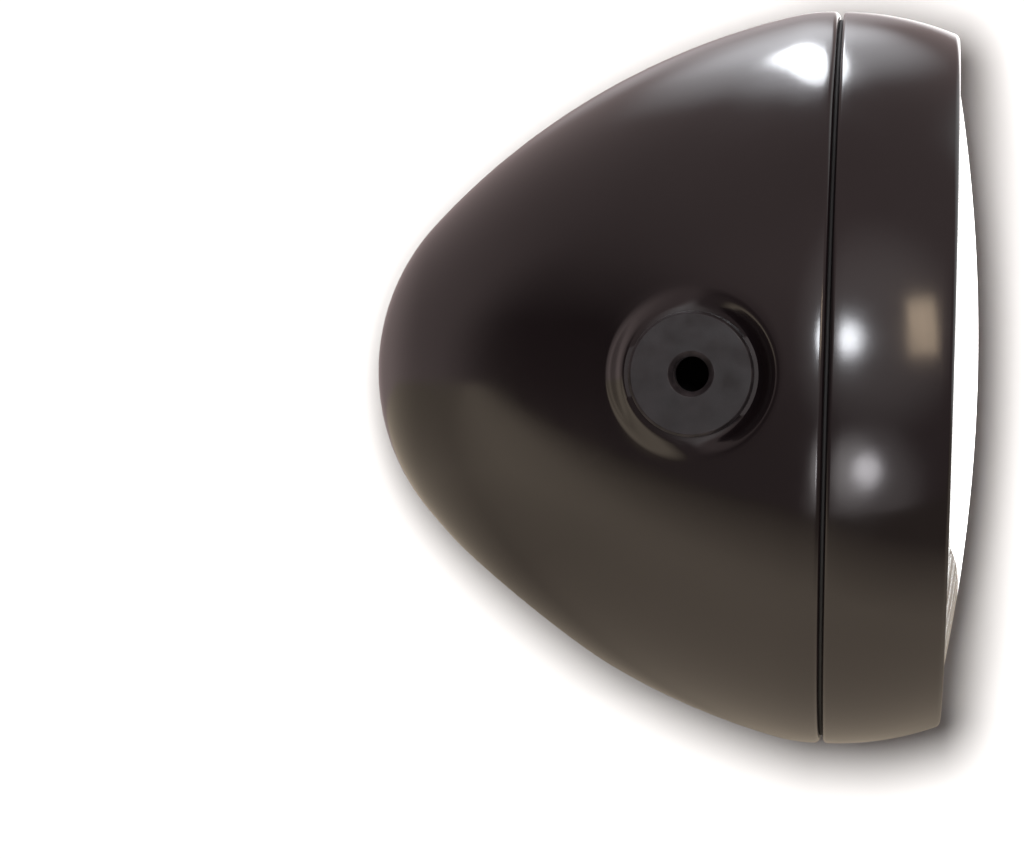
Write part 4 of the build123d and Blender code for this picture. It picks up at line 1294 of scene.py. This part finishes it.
# Lights by name: place, aim, width, height, brightness, colour
COOL, WARM = (0.92, 0.95, 1.0), (1.0, 0.77, 0.54)
LIGHTS = {
    "top_light": ((-0.10, 0.32, 0.835), (0.026, -0.053, 0.078), 0.23, 0.44, 13.0, COOL),
    "front_light": ((0.11, -1.07, 0.218), (0.034, -0.094, 0.01), 0.17, 0.17, 42.0, COOL),
    "low_light": ((0.205, -0.76, -0.385), (0.042, -0.092, -0.022), 0.14, 0.14, 11.0,
                  (0.97, 0.95, 1.0)),
}

# Soft glow of the room round those lights: direction, cosine where it starts, cosine where it is
# full, brightness, colour
GLOWS = (
    ((-0.10, 0.54, 0.836), 0.91, 1.0, 2.0, COOL),
    ((-0.16, 0.30, 0.94), 0.965, 1.0, 2.0, COOL),
    ((-0.13, 0.72, 0.68), 0.96, 1.0, 1.3, COOL),
    ((0.25, -0.93, 0.26), 0.80, 0.98, 0.6, (1.0, 0.93, 0.92)),
    ((0.20, -0.80, -0.566), 0.915, 0.985, 0.75, (1.0, 0.93, 0.92)),
    ((0.11, -0.876, -0.469), 0.975, 0.999, 2.2, (1.0, 0.96, 0.97)),
    ((-0.12, 0.90, 0.42), 0.972, 0.996, 0.4, COOL),
    ((0.30, 0.953, 0.0), 0.90, 0.97, 2.6, (1.0, 1.0, 1.0)),
)
WINDOW_PLACE, WINDOW_AIM = Vector((0.575, -0.90, 0.28)), (0.055, -0.091, 0.013)
WINDOW_ACROSS = Vector((0.84, 0.54, 0.0))
PANES = 3
PANE_WIDTH, PANE_HEIGHT, PANE_STEP, PANE_LEVEL = 0.042, 0.30, 0.066, 11.0
# Upright lights to the left and right in front of the lens, which only the glass shows
STRIP_SIDES, STRIP_FRONT, STRIP_RISE, STRIP_AIM = (-0.62, 0.62), 0.95, 0.15, (0.06, 0.0, 0.0)
STRIP_WIDTH, STRIP_HEIGHT, STRIP_LEVEL = 0.1, 0.9, 8.0
SHADOW_PLACE = (0.012, -0.783, 0.0205)
SHADOW_WIDTH, SHADOW_HEIGHT, SHADOW_LEVEL = 0.08, 0.12, 2750.0
FLOOR_WIDTH, FLOOR_DEPTH = 2.4, 0.9
CARD_WIDTH, CARD_HEIGHT = 1.6, 1.2
CARD_GREY = (0.15, 0.146, 0.143, 1.0)
CARD_SLANT = 0.06, 0.2          # slants to the eye at which the card starts to clear and is clear
WHITE = (1.0, 1.0, 1.0, 1.0)
ROOM_LEVEL = 1.18
# Heights, from nought to one, and greys of the walls of the room: camera side, its dark corner,
# far side and the pale wall there
WALLS = (
    ((0.1, 0.2), (0.42, 0.22), (0.6, 0.38), (0.75, 0.5)),
    ((0.2, 0.2), (0.46, 0.08), (0.62, 0.05), (0.78, 0.34)),
    ((0.2, 0.28), (0.5, 0.36), (0.75, 0.44)),
    ((0.3, 0.6), (0.5, 0.58), (0.66, 0.48), (0.8, 0.4)),
)
CEILING = (1.0, 0.46)


def studio_lights():
    for name, light in LIGHTS.items():
        area_light(name, *light)
    for pane in range(PANES):
        place = WINDOW_PLACE + WINDOW_ACROSS * PANE_STEP * (pane - (PANES - 1) / 2)
        area_light(f"window_pane_{pane + 1}", place, WINDOW_AIM, PANE_WIDTH, PANE_HEIGHT,
                   PANE_LEVEL, WARM, "RECTANGLE")
    for side in STRIP_SIDES:
        strip = area_light("strip_light", (STRIP_FRONT, side, STRIP_RISE), STRIP_AIM, STRIP_WIDTH,
                           STRIP_HEIGHT, STRIP_LEVEL, shape="RECTANGLE")
        strip.visible_glossy = strip.visible_diffuse = False


def shadow_light(settings, backdrop):
    """Soft light that falls on the backdrop only and draws the lamp's shadow there."""
    made = area_light("shadow_light", SHADOW_PLACE, (0.0, settings.backdrop, 0.0), SHADOW_WIDTH,
                      SHADOW_HEIGHT, SHADOW_LEVEL)
    made.visible_glossy = made.visible_transmission = False
    lit = bpy.data.collections.new("takes_shadow")
    lit.objects.link(backdrop)
    made.light_linking.receiver_collection = lit


def grey_ramp(nodes, value, *stops):
    """Levels along a value from nought to one, in the warm grey of the room."""
    made = nodes.tree.nodes.new("ShaderNodeValToRGB")
    points = made.color_ramp.elements
    while len(points) < len(stops):
        points.new(0.5)
    for point, (place, level) in zip(points, stops):
        point.position = place
        point.color = (level, level * 0.79, level * 0.77, 1.0)
    nodes.tree.links.new(value, made.inputs["Fac"])
    return made.outputs["Color"]


def studio_world(scene, level):
    """White background, and a dim warm room that is darkest beside the camera on the left."""
    world = bpy.data.worlds.new("studio")
    world.use_nodes = True
    scene.world = world
    nodes = Nodes(world.node_tree)
    nodes.tree.nodes.clear()
    way = nodes.node("ShaderNodeTexCoord", {}, "Generated")
    parts = nodes.axes(way)
    height = nodes.between(parts["Z"], 0.0, 1.0, -1.0, 1.0)

    def across(axis, start, end, first, second):
        return nodes.blend(nodes.eased(parts[axis], 0.0, 1.0, start, end), first, second)

    walls = (grey_ramp(nodes, height, *wall, CEILING) for wall in WALLS)
    camera_side, dark_corner, back, pale_wall = walls
    front = across("X", -0.88, -0.5, dark_corner, camera_side)
    behind = across("X", -0.85, -0.45, pale_wall, back)
    behind = across("X", 0.35, 0.65, behind, (1.1, 1.1, 1.1, 1.0))
    room = across("Y", -0.16, 0.16, front, behind)
    lit = nodes.node("ShaderNodeBackground", {"Color": room, "Strength": ROOM_LEVEL * level})
    for direction, start, full, glow, colour in GLOWS:
        near = nodes.measure("DOT_PRODUCT", way, direction)
        share = nodes.eased(near, 0.0, glow * level, start, full)
        halo = nodes.node("ShaderNodeBackground", {"Color": (*colour, 1.0), "Strength": share})
        lit = nodes.node("ShaderNodeAddShader", {0: lit, 1: halo})
    white = nodes.node("ShaderNodeBackground", {"Color": WHITE})
    seen = nodes.node("ShaderNodeLightPath", {}, "Is Camera Ray")
    both = nodes.node("ShaderNodeMixShader", {0: seen, 1: lit, 2: white})
    nodes.node("ShaderNodeOutputWorld", {"Surface": both}, None)


def sheet_finish(name):
    """Bare material of a sheet of the stage, and its empty tree of nodes."""
    material = bpy.data.materials.new(name)
    material.use_nodes = True
    nodes = Nodes(material.node_tree)
    nodes.tree.nodes.clear()
    return material, nodes


def floor_finish(settings):
    """Pale glowing sheet, soft at its front edge, with a painted shadow of the lamp: dimmer under
    and behind the lamp, less so to its left.
    """
    material, nodes = sheet_finish("pale_sheet")
    place = nodes.node("ShaderNodeTexCoord", {}, "Object")
    parts = nodes.axes(place)
    slant = nodes.between(parts["X"], 0.0, -0.06, 0.03, 0.13)
    edge = nodes.reckon("ADD", parts["Y"], slant)
    front = nodes.between(edge, 0.2, 1.17, settings.floor_front, settings.floor_front + 0.06)
    # Painted shadow of the lamp on the glowing sheet, under and behind the lamp.
    under = nodes.between(parts["Y"], 1.0, 0.28, -0.085, 0.005)
    # The painted shadow lifts to the left of the lamp, where its shadow ends.
    beside = nodes.between(parts["X"], 0.25, 0.0, -0.19, -0.09)
    level = nodes.node("ShaderNodeMath", {0: under, 1: beside}, operation="ADD", use_clamp=True)
    light = nodes.node("ShaderNodeEmission", {"Color": (*settings.floor, 1.0),
                                              "Strength": nodes.times(front, level)})
    nodes.node("ShaderNodeOutputMaterial", {"Surface": light}, None)
    return material


def backdrop_finish():
    """Grey card that is lit white in front and is clear at a slant and from the back."""
    material, nodes = sheet_finish("backdrop_card")
    clear = nodes.node("ShaderNodeBsdfTransparent", {})
    face = nodes.node("ShaderNodeBsdfDiffuse", {"Color": CARD_GREY})
    facing = nodes.node("ShaderNodeLayerWeight", {"Blend": 0.5}, "Facing")
    slant = nodes.between(facing, 0.0, 1.0, *CARD_SLANT)
    side = nodes.node("ShaderNodeNewGeometry", {}, "Backfacing")
    hidden = nodes.reckon("MAXIMUM", slant, side)
    both = nodes.node("ShaderNodeMixShader", {0: hidden, 1: face, 2: clear})
    nodes.node("ShaderNodeOutputMaterial", {"Surface": both}, None)
    return material


def stage_sheet(name, material, width, depth, place):
    """Flat sheet of the stage."""
    bm = bmesh.new()
    bmesh.ops.create_grid(bm, x_segments=8, y_segments=8, size=0.5)
    bmesh.ops.scale(bm, verts=bm.verts, vec=(width, depth, 1.0))
    bm.transform(place)
    made = linked(name, bm)
    made.data.materials.append(material)
    return made


def studio_floor(settings):
    """Pale sheet under the lamp that only its own reflections show."""
    middle = Matrix.Translation((0, settings.floor_front + FLOOR_DEPTH / 2, settings.floor_height))
    made = stage_sheet("floor", floor_finish(settings), FLOOR_WIDTH, FLOOR_DEPTH, middle)
    made.visible_camera = made.visible_transmission = made.visible_shadow = False


def studio_backdrop(settings):
    """Upright card behind the lamp."""
    upright = Matrix.Translation((0, settings.backdrop, 0)) @ Matrix.Rotation(math.pi / 2, 4, "X")
    made = stage_sheet("backdrop", backdrop_finish(), CARD_WIDTH, CARD_HEIGHT, upright)
    made.visible_shadow = made.visible_diffuse = False
    made.visible_glossy = made.visible_transmission = False
    return made


def studio_camera(scene, settings):
    """Camera at the side of the lamp, a little rolled."""
    data = bpy.data.cameras.new("camera")
    data.sensor_width = 36.0
    data.lens = settings.focal_length
    data.clip_start = 0.01
    made = bpy.data.objects.new("camera", data)
    scene.collection.objects.link(made)
    turn = Matrix.Rotation(-settings.yaw, 4, "Z")
    level = turn @ Matrix.Rotation(math.pi / 2 + settings.pitch, 4, "X")
    roll = Matrix.Rotation(settings.roll, 4, "Z")
    made.matrix_world = Matrix.Translation(settings.eye) @ level @ roll
    scene.camera = made


class HEADLIGHT_OT_stage(Operator):
    """Sets up floor, backdrop, lights, background and camera"""
    bl_idname = "headlight.stage"
    bl_label = "Studio"

    def execute(self, context):
        scene = context.scene
        settings = scene.headlight_studio
        studio_floor(settings)
        studio_lights()
        shadow_light(settings, studio_backdrop(settings))
        studio_world(scene, settings.room)
        studio_camera(scene, settings)
        scene.view_settings.view_transform = "Standard"
        return {"FINISHED"}


class HEADLIGHT_PT_panel(Panel):
    """Lists the steps that build the headlight"""
    bl_idname = "HEADLIGHT_PT_panel"
    bl_label = "Round headlight"
    bl_space_type = "VIEW_3D"
    bl_region_type = "UI"
    bl_category = "Headlight"

    def draw(self, context):
        for step in STEPS:
            self.layout.operator(step.bl_idname)
        for name in GROUPS:
            box = self.layout.box()
            group = getattr(context.scene, name)
            for setting in group.bl_rna.properties.keys():
                if setting not in {"rna_type", "name"}:
                    box.prop(group, setting)


GROUPS = {
    "headlight_shell": ShellSizes,
    "headlight_rim": RimSizes,
    "headlight_mounts": InsertSizes,
    "headlight_lens": LensSizes,
    "headlight_unit": UnitSizes,
    "headlight_finishes": Finishes,
    "headlight_studio": StudioSettings,
}

STEPS = (HEADLIGHT_OT_shell, HEADLIGHT_OT_rim, HEADLIGHT_OT_screw, HEADLIGHT_OT_mounts,
         HEADLIGHT_OT_rubber, HEADLIGHT_OT_lens, HEADLIGHT_OT_reflector, HEADLIGHT_OT_bulb,
         HEADLIGHT_OT_pilot, HEADLIGHT_OT_fittings, HEADLIGHT_OT_stage)


def register():
    for name, group in GROUPS.items():
        bpy.utils.register_class(group)
        setattr(bpy.types.Scene, name, PointerProperty(type=group))
    for step in (*STEPS, HEADLIGHT_PT_panel):
        bpy.utils.register_class(step)


def unregister():
    for step in (*STEPS, HEADLIGHT_PT_panel):
        bpy.utils.unregister_class(step)
    for name, group in GROUPS.items():
        delattr(bpy.types.Scene, name)
        bpy.utils.unregister_class(group)


def main():
    register()
    for step in (bpy.ops.headlight.shell, bpy.ops.headlight.rim, bpy.ops.headlight.screw,
                 bpy.ops.headlight.mounts, bpy.ops.headlight.rubber, bpy.ops.headlight.lens,
                 bpy.ops.headlight.reflector, bpy.ops.headlight.bulb, bpy.ops.headlight.pilot,
                 bpy.ops.headlight.fittings, bpy.ops.headlight.stage):
        step()


if __name__ == "__main__":
    main()
